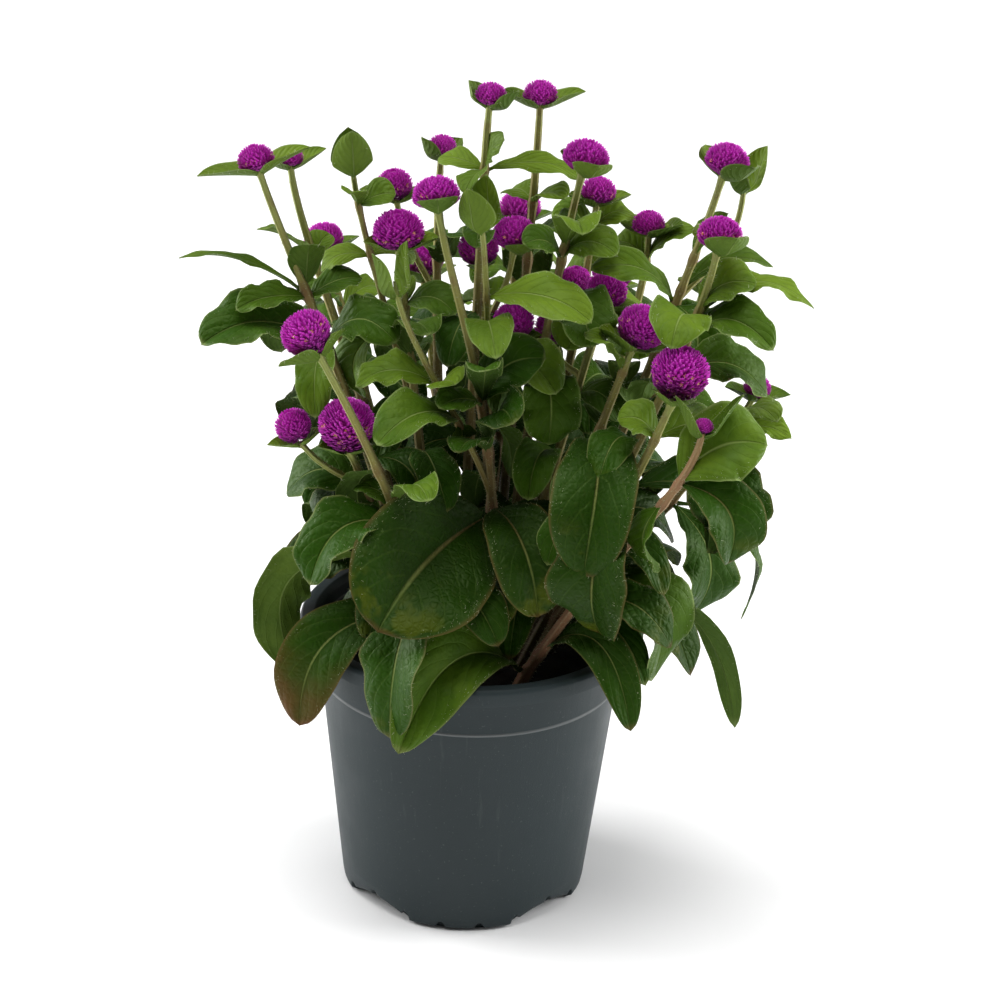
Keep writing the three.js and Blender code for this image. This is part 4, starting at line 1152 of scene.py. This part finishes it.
class Hug:
    """The way of a bract: round the underside of its head, then straight on from there."""

    def __init__(self, branch, turn, length, closure):
        self.branch = branch
        self.ring = branch.radius + BRACT_CLEARANCE
        self.below = branch.depth * branch.radius + BRACT_CLEARANCE
        out = Vector((math.cos(turn), math.sin(turn), 0))
        self.out = (out - branch.axis * out.dot(branch.axis)).normalized()
        self.side = branch.axis.cross(self.out)
        self.opening = math.radians(20 + 55 * closure)
        self.half_width = min(0.95 * length, (2.8 if branch.green else 1.9) * self.ring) / 2
        self.rest = max(3, length - self.ring * self.opening)

    def at(self, angle):
        """The middle and heading at an angle round the head from its seat, at most the opening."""
        angle = min(angle, self.opening)
        out, up = self.out * self.ring, self.branch.axis * self.below
        heading = (out * math.cos(angle) + up * math.sin(angle)).normalized()
        return self.branch.head + out * math.sin(angle) - up * math.cos(angle), heading

    def tip(self):
        centre, heading = self.at(self.opening)
        return centre + heading * self.rest


def grow_bract(foliage, hug, age, plant_random):
    hugging = hug.ring * hug.opening
    tint = plant_random.uniform(-1, 1)
    tip_curl = plant_random.uniform(-0.05, 0.35)
    phase = plant_random.uniform(0, WAVE_PHASES)

    def curl(share, v):
        return 0.06 * math.sin(7 * share + phase + 2 * v) * v * v

    def fold(v):
        return 0.14 * v + 0.30 * v * v

    stations = []
    rows, columns = BRACT_GRID
    for k in range(1, rows + 1):
        share = (k - 0.5) / rows if k < rows else 0.995
        run = share * (hugging + hug.rest)
        outward = max(0, run - hugging) / hug.rest
        centre, heading = hug.at(run / hug.ring)
        centre += heading * (outward * hug.rest)
        lift = tip_curl * hug.rest * 0.25 * outward * (1 - outward)
        centre += heading.cross(hug.side).normalized() * lift
        half = hug.half_width * math.cos(math.pi / 2 * outward) ** 0.6
        half *= math.sin(math.pi / 2 * min(1, run / hugging)) ** 0.6
        stations.append((centre, heading, hug.side, max(THINNEST_HALF, half), share))
    add_blade(foliage, stations, columns, fold, curl, BRACT_THICKNESS, age, tint)


def grow_bracts(foliage, branch, tips, plant_random):
    for half in (0, 1):
        def hug_of(row):
            turn, lift, shrink = row
            closure = min(1.5, max(0, branch.closure + lift / 55))
            length = (1.2 * branch.length - 2 * half) * shrink
            return Hug(branch, branch.turn + half * math.pi + math.radians(turn), length, closure)

        row = grown(tips, lambda row: hug_of(row).tip())
        if row:
            grow_bract(foliage, hug_of(row), plant_random.uniform(0, 0.2), plant_random)


def grow_leaves(foliage, branch, rows, habits, tips, plant_random):
    for at, x, y, z, width, arch, roll in rows:
        base = branch.course.point(at)
        reach = Vector((x, y, z))
        row = grown(tips, lambda row: base + bent(reach, row))
        if row:
            age = smooth(branch.age(at), 0.1, 0.95) + 0.4 * smooth(width, 18, 28)
            age += plant_random.uniform(-0.1, 0.1)
            habit = habits.get((at, x), (min(1, max(0, age)), 0, 0))
            reach = bent(reach, row)
            grow_leaf(foliage, base, reach, width * row[2], arch, roll, habit, plant_random)


def leaf_blade():
    finish = Finish("hairy_leaf", Specular_IOR_Level=0.2, Specular_Tint=(0.75, 1, 0.45, 1))
    place = finish.place()
    along = on_skin(finish)
    across = abs(along.out("Y") * 2 - 1)
    age = finish.attribute("age")
    tint = finish.attribute("tint")
    dry = finish.attribute("dry")
    below = finish.attribute("underside")
    patch = finish.noise(60, 3, vector=place)
    mottle = finish.noise(420, 4, 0.6, vector=place)
    midrib = 1 - across.ease(0.012, 0.045)
    swept = along * 6.5 - across * 1.7 - across * across * 1.1
    wave = ((swept + (patch - 0.5) * 0.6 + tint * 0.3) * math.tau).sine()
    veins = wave.ease(0.90, 1.0) * across.ease(0.05, 0.12) * (1 - across.ease(0.72, 0.92))
    ripeness = age + tint * 0.12 + (patch - 0.5) * 0.45
    ramp = finish.node("ShaderNodeValToRGB", {"stops": LEAF_STOPS}, {0: ripeness})
    green = finish.colour(ramp, MOTTLED_GREEN, mottle.ease(0.52, 0.75, 0, 0.25))
    green = finish.colour(green, VEIN_GREEN, veins * (0.24 - age * 0.14))
    yellow = (age * along.ease(0.55, 1.0) * patch.ease(0.45, 0.65)).ease(0.25, 0.9, 0, 0.5)
    green = finish.colour(green, YELLOWED, yellow)
    browned = age.ease(0.3, 0.9) * (1 - along.ease(0.2, 1.0))
    ribbed = finish.colour(RIB_GREEN, RIB_BROWN, browned)
    green = finish.colour(green, ribbed, midrib * (1 - along.ease(0.55, 1.0, 0, 0.8)) * 0.7)
    edge = across.ease(0.91, 1.0) + along.ease(0.965, 1.0)
    fringe = finish.colour(FRINGE_PALE, FRINGE_RED, (age + dry * 0.5).ease(0.3, 0.9))
    green = finish.colour(green, fringe, edge.math("MINIMUM", edge, 1) * 0.6)
    reddened = (dry * (along + across * 0.25 + (patch - 0.5) * 0.5)).ease(0.55, 1.05, 0, 0.75)
    green = finish.colour(green, DRIED_RED, reddened)
    pale = finish.colour(green, UNDERSIDE_GREEN, 0.35)
    finish.drive("Base Color", finish.colour(green, pale, below))
    finish.drive("Roughness", mottle.ease(0.3, 0.7, 0.42, 0.58) + below * 0.15)
    cells = finish.node("ShaderNodeTexVoronoi", {"feature": "DISTANCE_TO_EDGE"},
                        {"Vector": place, "Scale": 360})
    quilt = (wave * 0.5 + 0.5) * across.ease(0.02, 0.3) * (1 - across.ease(0.7, 0.95))
    puckers = cells.ease(0.0, 0.3) * (age * 0.20 + 0.04)
    height = quilt * -0.18 - veins * 0.12 - midrib * 0.45 + puckers + mottle * 0.25
    finish.bump(height * (1 - below * 2), 0.0008)
    return finish.material


def pale_hair():
    finish = Finish("pale_hair", Roughness=0.6, Specular_IOR_Level=0.2)
    finish.drive("Base Color", finish.colour(HAIR_STRAW, HAIR_PALE, finish.noise(200)))
    return finish.material


def unit_shape(name, points, faces):
    """A small shape that a tree copies. It isn't in the scene itself."""
    mesh = bpy.data.meshes.new(name)
    mesh.from_pydata(points, [], faces)
    return bpy.data.objects.new(name, mesh)


def short_hair():
    """One hair along z, a unit long: a needle of three sides whose foot is sunk in the skin."""
    corner = Vector((HAIR_SHARE, 0, -HAIR_SINK))
    foot = [Matrix.Rotation(-2 * math.pi * k / 3, 3, "Z") @ corner for k in range(3)]
    return unit_shape("short_hair", [*foot, UP], [(0, 1, 2), (1, 0, 3), (2, 1, 3), (0, 2, 3)])


def hair_tree(material):
    """Hairs along the margins of the blades, and all over the stem and twigs."""
    tree, given = new_tree("short hairs", {
        "Hair": "Object", "On Margin": "Float", "On Stem": "Float", "Shortest": "Float",
        "Longest": "Float", "Seed": "Int",
    })
    seed = given.out("Seed")
    on_stem = tree.node("GeometryNodeInputMaterialIndex")
    skin = tree.node("GeometryNodeInputNamedAttribute", {"data_type": "FLOAT_VECTOR"},
                     {"Name": "along"})
    across = abs(tree.node("ShaderNodeSeparateXYZ", {}, {0: skin}, 1) * 2 - 1)
    on_margin = given.out("On Margin") * across.math("GREATER_THAN", across, MARGIN)
    density = on_margin + (given.out("On Stem") - on_margin) * on_stem
    sockets = {"Mesh": given, "Density": density, "Seed": seed}
    points = tree.node("GeometryNodeDistributePointsOnFaces", {}, sockets)
    astray = tree.node("FunctionNodeRandomValue", {"data_type": "FLOAT_VECTOR"},
                       {"Min": (-0.6, -0.6, -0.3), "Max": (0.6, 0.6, 0.7), "Seed": seed})
    aim = tree.node("ShaderNodeVectorMath", {"operation": "ADD"},
                    {0: points.out("Normal"), 1: astray})
    stand = tree.node("FunctionNodeAlignRotationToVector", {"axis": "Z"}, {"Vector": aim})
    length = tree.node("FunctionNodeRandomValue", {},
                       {2: given.out("Shortest"), 3: given.out("Longest"), "Seed": seed}, 1)
    hairs = end_copies(tree, place_copies(tree, points, given.out("Hair"), stand, length))
    end_tree(tree, join(tree, given, dress(tree, hairs, material)))
    return tree


foliage_materials = [leaf_blade(), stem_skin()]
hair_shape = short_hair()
short_hairs = hair_tree(pale_hair())
branches = []
for stem_number, (node, row) in enumerate(LAYOUT.items()):
    foot, knee, neck, end = row["course"]
    course = Course((*foot, SOIL_LEVEL - STEM_DEPTH), knee, neck, end)
    main = Branch(course, row["bloom"], STEM_RADII, row.get("leaves") or crossed_pairs(), 0)
    own = [main]
    for twig in row.get("twigs", []):
        path = twig_course(course, twig["from"], *twig["course"])
        twig_leaves = twig.get("leaves", [])
        own.append(Branch(path, twig["bloom"], TWIG_RADII, twig_leaves, twig["from"]))
    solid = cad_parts[node].data.vertices
    tips = KDTree(len(solid))
    for vertex in solid:
        tips.insert(vertex.co, vertex.index)
    tips.balance()
    plant_random = random.Random(stem_number + 1)
    foliage = Foliage()
    for branch in own:
        grow_stem(foliage, branch, FLUSHED.get(node, 0), plant_random)
        grow_bracts(foliage, branch, tips, plant_random)
        grow_leaves(foliage, branch, branch.leaves, HABITS.get(node, {}), tips, plant_random)
    low_leaves = BASAL_LEAVES + MIDDLE_LEAVES if "leaves" in row else BASAL_LEAVES
    grow_leaves(foliage, main, turned_leaves(row["course"], low_leaves), {}, tips, plant_random)
    leafy = foliage.piece(f"leafy_{node}", foliage_materials)
    shape_by(short_hairs, leafy, {
        "Hair": hair_shape, "On Margin": HAIRS_ON_MARGIN, "On Stem": HAIRS_ON_STEM,
        "Shortest": HAIR_LENGTH[0], "Longest": HAIR_LENGTH[1], "Seed": stem_number,
    })
    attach(leafy, "root")
    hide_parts(node)
    branches += own
bpy.data.objects.remove(hair_shape)

# The flower heads are globes of papery bracteoles that overlap upward like shingles, each a keeled
# scale with a pale crest. True flowers as small as a pinhead, cream with a peach throat, peep out
# between them, most of them low on the head.
SCALE_COUNT = 620
FLOWER_COUNT = 26
WHOLE_HEAD_RADIUS = 9
CORE_SHARE = 0.84
SCALE_SECTIONS = ((0.35, 0.13, 0.040), (0.66, 0.155, 0.046), (0.88, 0.10, 0.034))
SCALE_LENGTH = 0.44
SCALE_LEAN, LEAN_SPREAD = 0.85, 0.25
TURN_SPREAD = 0.12
LOBES = 5
FLOWER_LEVELS = (-0.75, 0.25)
FLOWER_LEAN = 0.15
FLOWER_LENGTH, LENGTH_SPREAD = 0.0015, 0.0005
PURPLE_DEEP = (0.270, 0.003, 0.205)
PURPLE = (0.620, 0.016, 0.540)
CREST_PINK = (0.82, 0.17, 0.80)
PURPLE_FLECK = (0.56, 0.02, 0.40)
# Painted shade: a darker purple over the lower half of each head, in part also the head's own
# deeper colour low down.
LOW_PURPLE_AND_PAINTED_SHADE = (0.140, 0.002, 0.120)
CREAM, PEACH = (0.82, 0.60, 0.28), (0.80, 0.36, 0.20)


def papery_scale():
    """One scale along z with its keel towards y, a unit long.

    How high a point is on the scale is kept as the value named reach.
    """
    rings = [[Vector((0, 0, 0))]]
    reach = [0.0]
    for z, half, keel in SCALE_SECTIONS:
        corners = [(half, -keel), (0, keel), (-half, -keel), (0, keel - 0.05)]
        rings.append([Vector((x, y, z)) for x, y in corners])
        reach += [z] * len(corners)
    rings.append([Vector((0, 0.02, 1))])
    scale = unit_shape("papery_scale", *loft(rings))
    kept = scale.data.attributes.new("reach", "FLOAT", "POINT")
    kept.data.foreach_set("value", [*reach, 1.0])
    return scale


def pinhead_flower():
    """One small flower: a funnel with five lobes round its mouth, a unit across."""
    mouth = []
    for k in range(2 * LOBES):
        turn = math.pi * k / LOBES
        radius, z = (0.2, 0.05) if k % 2 else (0.5, 0.15)
        mouth.append(Vector((radius * math.cos(turn), radius * math.sin(turn), z)))
    neck = [Vector((0.35 * point.x, 0.35 * point.y, -0.9)) for point in mouth]
    rings = [[Vector((0, 0, -1))], neck, mouth, [Vector((0, 0, -0.1))]]
    return unit_shape("pinhead_flower", *loft(rings))


def papery_purple():
    finish = Finish("papery_purple", Specular_IOR_Level=0.25, Sheen_Weight=0.2,
                    Sheen_Roughness=0.5, Sheen_Tint=(0.9, 0.5, 1, 1))
    reach = finish.attribute("reach")
    fine = finish.noise(1400, 2)
    purple = finish.colour(PURPLE_DEEP, PURPLE, reach.ease(0.35, 0.9))
    crest = (reach + finish.attribute("tint") * 0.06).ease(0.82, 1.02, 0, 0.6)
    purple = finish.colour(purple, CREST_PINK, crest)
    purple = finish.colour(purple, PURPLE_FLECK, fine.ease(0.45, 0.7, 0, 0.4))
    # The lower half of the head is painted darker: painted shade under the head, and in part its
    # own deeper purple.
    under = (0 - finish.attribute("height")).ease(-0.2, 0.7, 0, 0.65)
    finish.drive("Base Color", finish.colour(purple, LOW_PURPLE_AND_PAINTED_SHADE, under))
    finish.drive("Roughness", fine.ease(0.3, 0.7, 0.55, 0.75))
    finish.bump(fine, 0.0003)
    return finish.material


def cream_petal():
    finish = Finish("cream_petal", Specular_IOR_Level=0.3)
    fine = finish.noise(900, 2)
    finish.drive("Base Color", finish.colour(CREAM, PEACH, fine.ease(0.4, 0.6)))
    finish.drive("Roughness", fine.ease(0.3, 0.7, 0.5, 0.7))
    return finish.material


def head_tree(purple, cream):
    tree, given = new_tree("globe of scales", {
        "Scale": "Object", "Flower": "Object", "Centre": "Vector", "Axis": "Vector",
        "Radius": "Float", "Top": "Float", "Bottom": "Float", "Scales": "Int", "Flowers": "Int",
        "Seed": "Int",
    })
    radius = given.out("Radius")

    def vector_math(operation, *values, **named):
        sockets = {**dict(enumerate(values)), **named}
        return tree.node("ShaderNodeVectorMath", {"operation": operation}, sockets, 0)

    def chance(low, high, salt):
        sockets = {2: low, 3: high, "Seed": given.out("Seed") + salt}
        return tree.node("FunctionNodeRandomValue", {}, sockets, 1)

    def crowd(count, height, turn, lift, length, share, item, tint):
        """Items on a globe about the origin, which lean towards its top."""
        points = tree.node("GeometryNodePoints", {}, {"Count": count})
        level = (1 - height * height).root()
        around = {0: level * turn.math("COSINE", turn), 1: level * turn.sine()}
        outward = tree.node("ShaderNodeCombineXYZ", {}, {**around, 2: height})
        above = height.math("GREATER_THAN", height, 0)
        flatness = given.out("Bottom") + (given.out("Top") - given.out("Bottom")) * above
        swollen = (height + (1 - height * height) * 0.1) * flatness
        surface = tree.node("ShaderNodeCombineXYZ", {}, {**around, 2: swollen})
        tip = vector_math("SCALE", surface, Scale=radius * share)
        raised = vector_math("SCALE", (0, 0, 1), Scale=lift)
        aim = vector_math("NORMALIZE", vector_math("ADD", outward, raised))
        root = vector_math("SUBTRACT", tip, vector_math("SCALE", aim, Scale=length))
        points = tree.node("GeometryNodeSetPosition", {}, {"Geometry": points, "Position": root})
        facing = tree.node("FunctionNodeAxesToRotation",
                           {"primary_axis": "Z", "secondary_axis": "Y"},
                           {"Primary Axis": aim, "Secondary Axis": outward})
        placed = place_copies(tree, points, item, facing, length)
        for name, value in (("tint", tint), ("height", height)):
            placed = tree.node("GeometryNodeStoreNamedAttribute",
                               {"data_type": "FLOAT", "domain": "INSTANCE"},
                               {"Geometry": placed, "Name": name, "Value": value})
        return end_copies(tree, placed)

    index = tree.node("GeometryNodeInputIndex")
    golden = math.pi * (3 - math.sqrt(5))
    height = 0.98 - (index * 1.86 + 0.93) / given.out("Scales")
    turn = index * golden + chance(-TURN_SPREAD, TURN_SPREAD, 1)
    lean = SCALE_LEAN + chance(-LEAN_SPREAD, LEAN_SPREAD, 2)
    scales = crowd(given.out("Scales"), height, turn, lean, radius * SCALE_LENGTH,
                   chance(0.95, 1.01, 3), given.out("Scale"), chance(-1, 1, 4))
    height, turn = chance(*FLOWER_LEVELS, 5), chance(0, FULL_TURN, 6)
    flowers = crowd(given.out("Flowers"), height, turn, FLOWER_LEAN,
                    FLOWER_LENGTH + chance(0, LENGTH_SPREAD, 7), chance(1.0, 1.06, 8),
                    given.out("Flower"), chance(-1, 1, 9))
    scales = dress(tree, join(tree, given, scales), purple)
    whole = join(tree, scales, dress(tree, flowers, cream))
    up_to_axis = tree.node("FunctionNodeAlignRotationToVector", {"axis": "Z"},
                           {"Vector": given.out("Axis")})
    sockets = {"Geometry": whole, "Translation": given.out("Centre"), "Rotation": up_to_axis}
    end_tree(tree, tree.node("GeometryNodeTransform", {}, sockets))
    return tree


scale_shape = papery_scale()
flower_shape = pinhead_flower()
globe_of_scales = head_tree(papery_purple(), cream_petal())
blooming = [branch for branch in branches if not branch.green]
for k, branch in enumerate(blooming):
    core = bpy.data.meshes.new("core")
    core_builder = bmesh.new()
    core_radius = branch.radius * CORE_SHARE * MM
    bmesh.ops.create_icosphere(core_builder, subdivisions=2, radius=core_radius)
    top = 0.9 + 0.1 * branch.depth
    for vertex in core_builder.verts:
        vertex.co.z *= top if vertex.co.z > 0 else branch.depth
    core_builder.to_mesh(core)
    core_builder.free()
    at_root = core.attributes.new("reach", "FLOAT", "POINT")
    at_root.data.foreach_set("value", [0.0] * len(core.vertices))
    head = bpy.data.objects.new(f"globe_head_{k + 1:02d}", core)
    scene.collection.objects.link(head)
    size = branch.radius / WHOLE_HEAD_RADIUS
    shape_by(globe_of_scales, head, {
        "Scale": scale_shape, "Flower": flower_shape, "Centre": branch.head * MM,
        "Axis": branch.axis, "Radius": branch.radius * MM, "Top": top, "Bottom": branch.depth,
        "Scales": round(SCALE_COUNT * size ** 1.3), "Flowers": round(FLOWER_COUNT * size ** 2),
        "Seed": 40 + k,
    })
    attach(head, "root")
    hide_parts(f"flower_{k + 1:02d}")
for shape in (scale_shape, flower_shape):
    bpy.data.objects.remove(shape)

# The stage is a plain pale floor in a light tent that is bright above, behind and at the sides, and
# dimmer in front, where the camera looks in. The camera looks down at the plant from arm's length.
FLOOR_HALF = 8000
FLOOR_SHADES = ((0.86, 0.86, 0.86), (0.90, 0.90, 0.90))
LIT_POINT = Vector((0, 0, 0.18))
CAMERA_PLACE = (0.0101, -1.1, 0.643)
CAMERA_PITCH = math.radians(23.2)
CAMERA_ROLL = math.radians(2.1)
CAMERA_LENS = 106.8
CAMERA_SENSOR = 36


def pale_floor():
    finish = Finish("pale_floor", Roughness=0.9, Specular_IOR_Level=0.1)
    finish.drive("Base Color", finish.colour(*FLOOR_SHADES, finish.noise(3)))
    return finish.material


floor_corners = [Vector((x, y, 0)) * FLOOR_HALF for x, y in ((-1, -1), (1, -1), (1, 1), (-1, 1))]
floor = make_piece("floor", floor_corners, [(0, 1, 2, 3)], [pale_floor()])

tent = bpy.data.worlds.new("light_tent")
tent.use_nodes = True
scene.world = tent
tent_tree = Tree(tent.node_tree)
direction = tent_tree.node("ShaderNodeTexCoord", output="Generated")
depth = tent_tree.node("ShaderNodeSeparateXYZ", {}, {0: direction}, 1)
seen = tent_tree.node("ShaderNodeLightPath", output="Is Camera Ray")
glow = depth.ease(-0.9, 0.5, 0.14, 0.45)
glow = glow + (1.0 - glow) * seen
backdrop = tent.node_tree.nodes["Background"]
backdrop.inputs["Color"].default_value = (1, 1, 1, 1)
tent.node_tree.links.new(glow.socket, backdrop.inputs["Strength"])


def soft_light(name, kind, place, spread, strength):
    """A light that faces the plant. Its spread is an angle for a sun, else a width in metres."""
    data = bpy.data.lights.new(name, kind)
    if kind == "SUN":
        data.angle = spread
    else:
        data.size = spread
    data.energy = strength
    light = bpy.data.objects.new(name, data)
    light.location = place
    light.rotation_euler = (LIT_POINT - Vector(place)).to_track_quat("-Z", "Y").to_euler()
    scene.collection.objects.link(light)


soft_light("top_light", "SUN", (-0.15, -0.1, 1.5), math.radians(45), 2.7)
soft_light("left_light", "AREA", (-1.1, 0.3, 0.5), 0.7, 13)
soft_light("right_light", "AREA", (1.1, 0.1, 0.5), 0.7, 12)

camera_data = bpy.data.cameras.new("camera")
camera_data.lens = CAMERA_LENS
camera_data.sensor_width = CAMERA_SENSOR
camera = bpy.data.objects.new("camera", camera_data)
forward = Vector((0, math.cos(CAMERA_PITCH), -math.sin(CAMERA_PITCH)))
level = Vector((1, 0, 0))
overhead = level.cross(forward)
right = level * math.cos(CAMERA_ROLL) + overhead * math.sin(CAMERA_ROLL)
upright = overhead * math.cos(CAMERA_ROLL) - level * math.sin(CAMERA_ROLL)
turned = Matrix((right, upright, -forward)).transposed().to_4x4()
camera.matrix_world = Matrix.Translation(CAMERA_PLACE) @ turned
scene.collection.objects.link(camera)
scene.camera = camera
scene.view_settings.view_transform = "Standard"
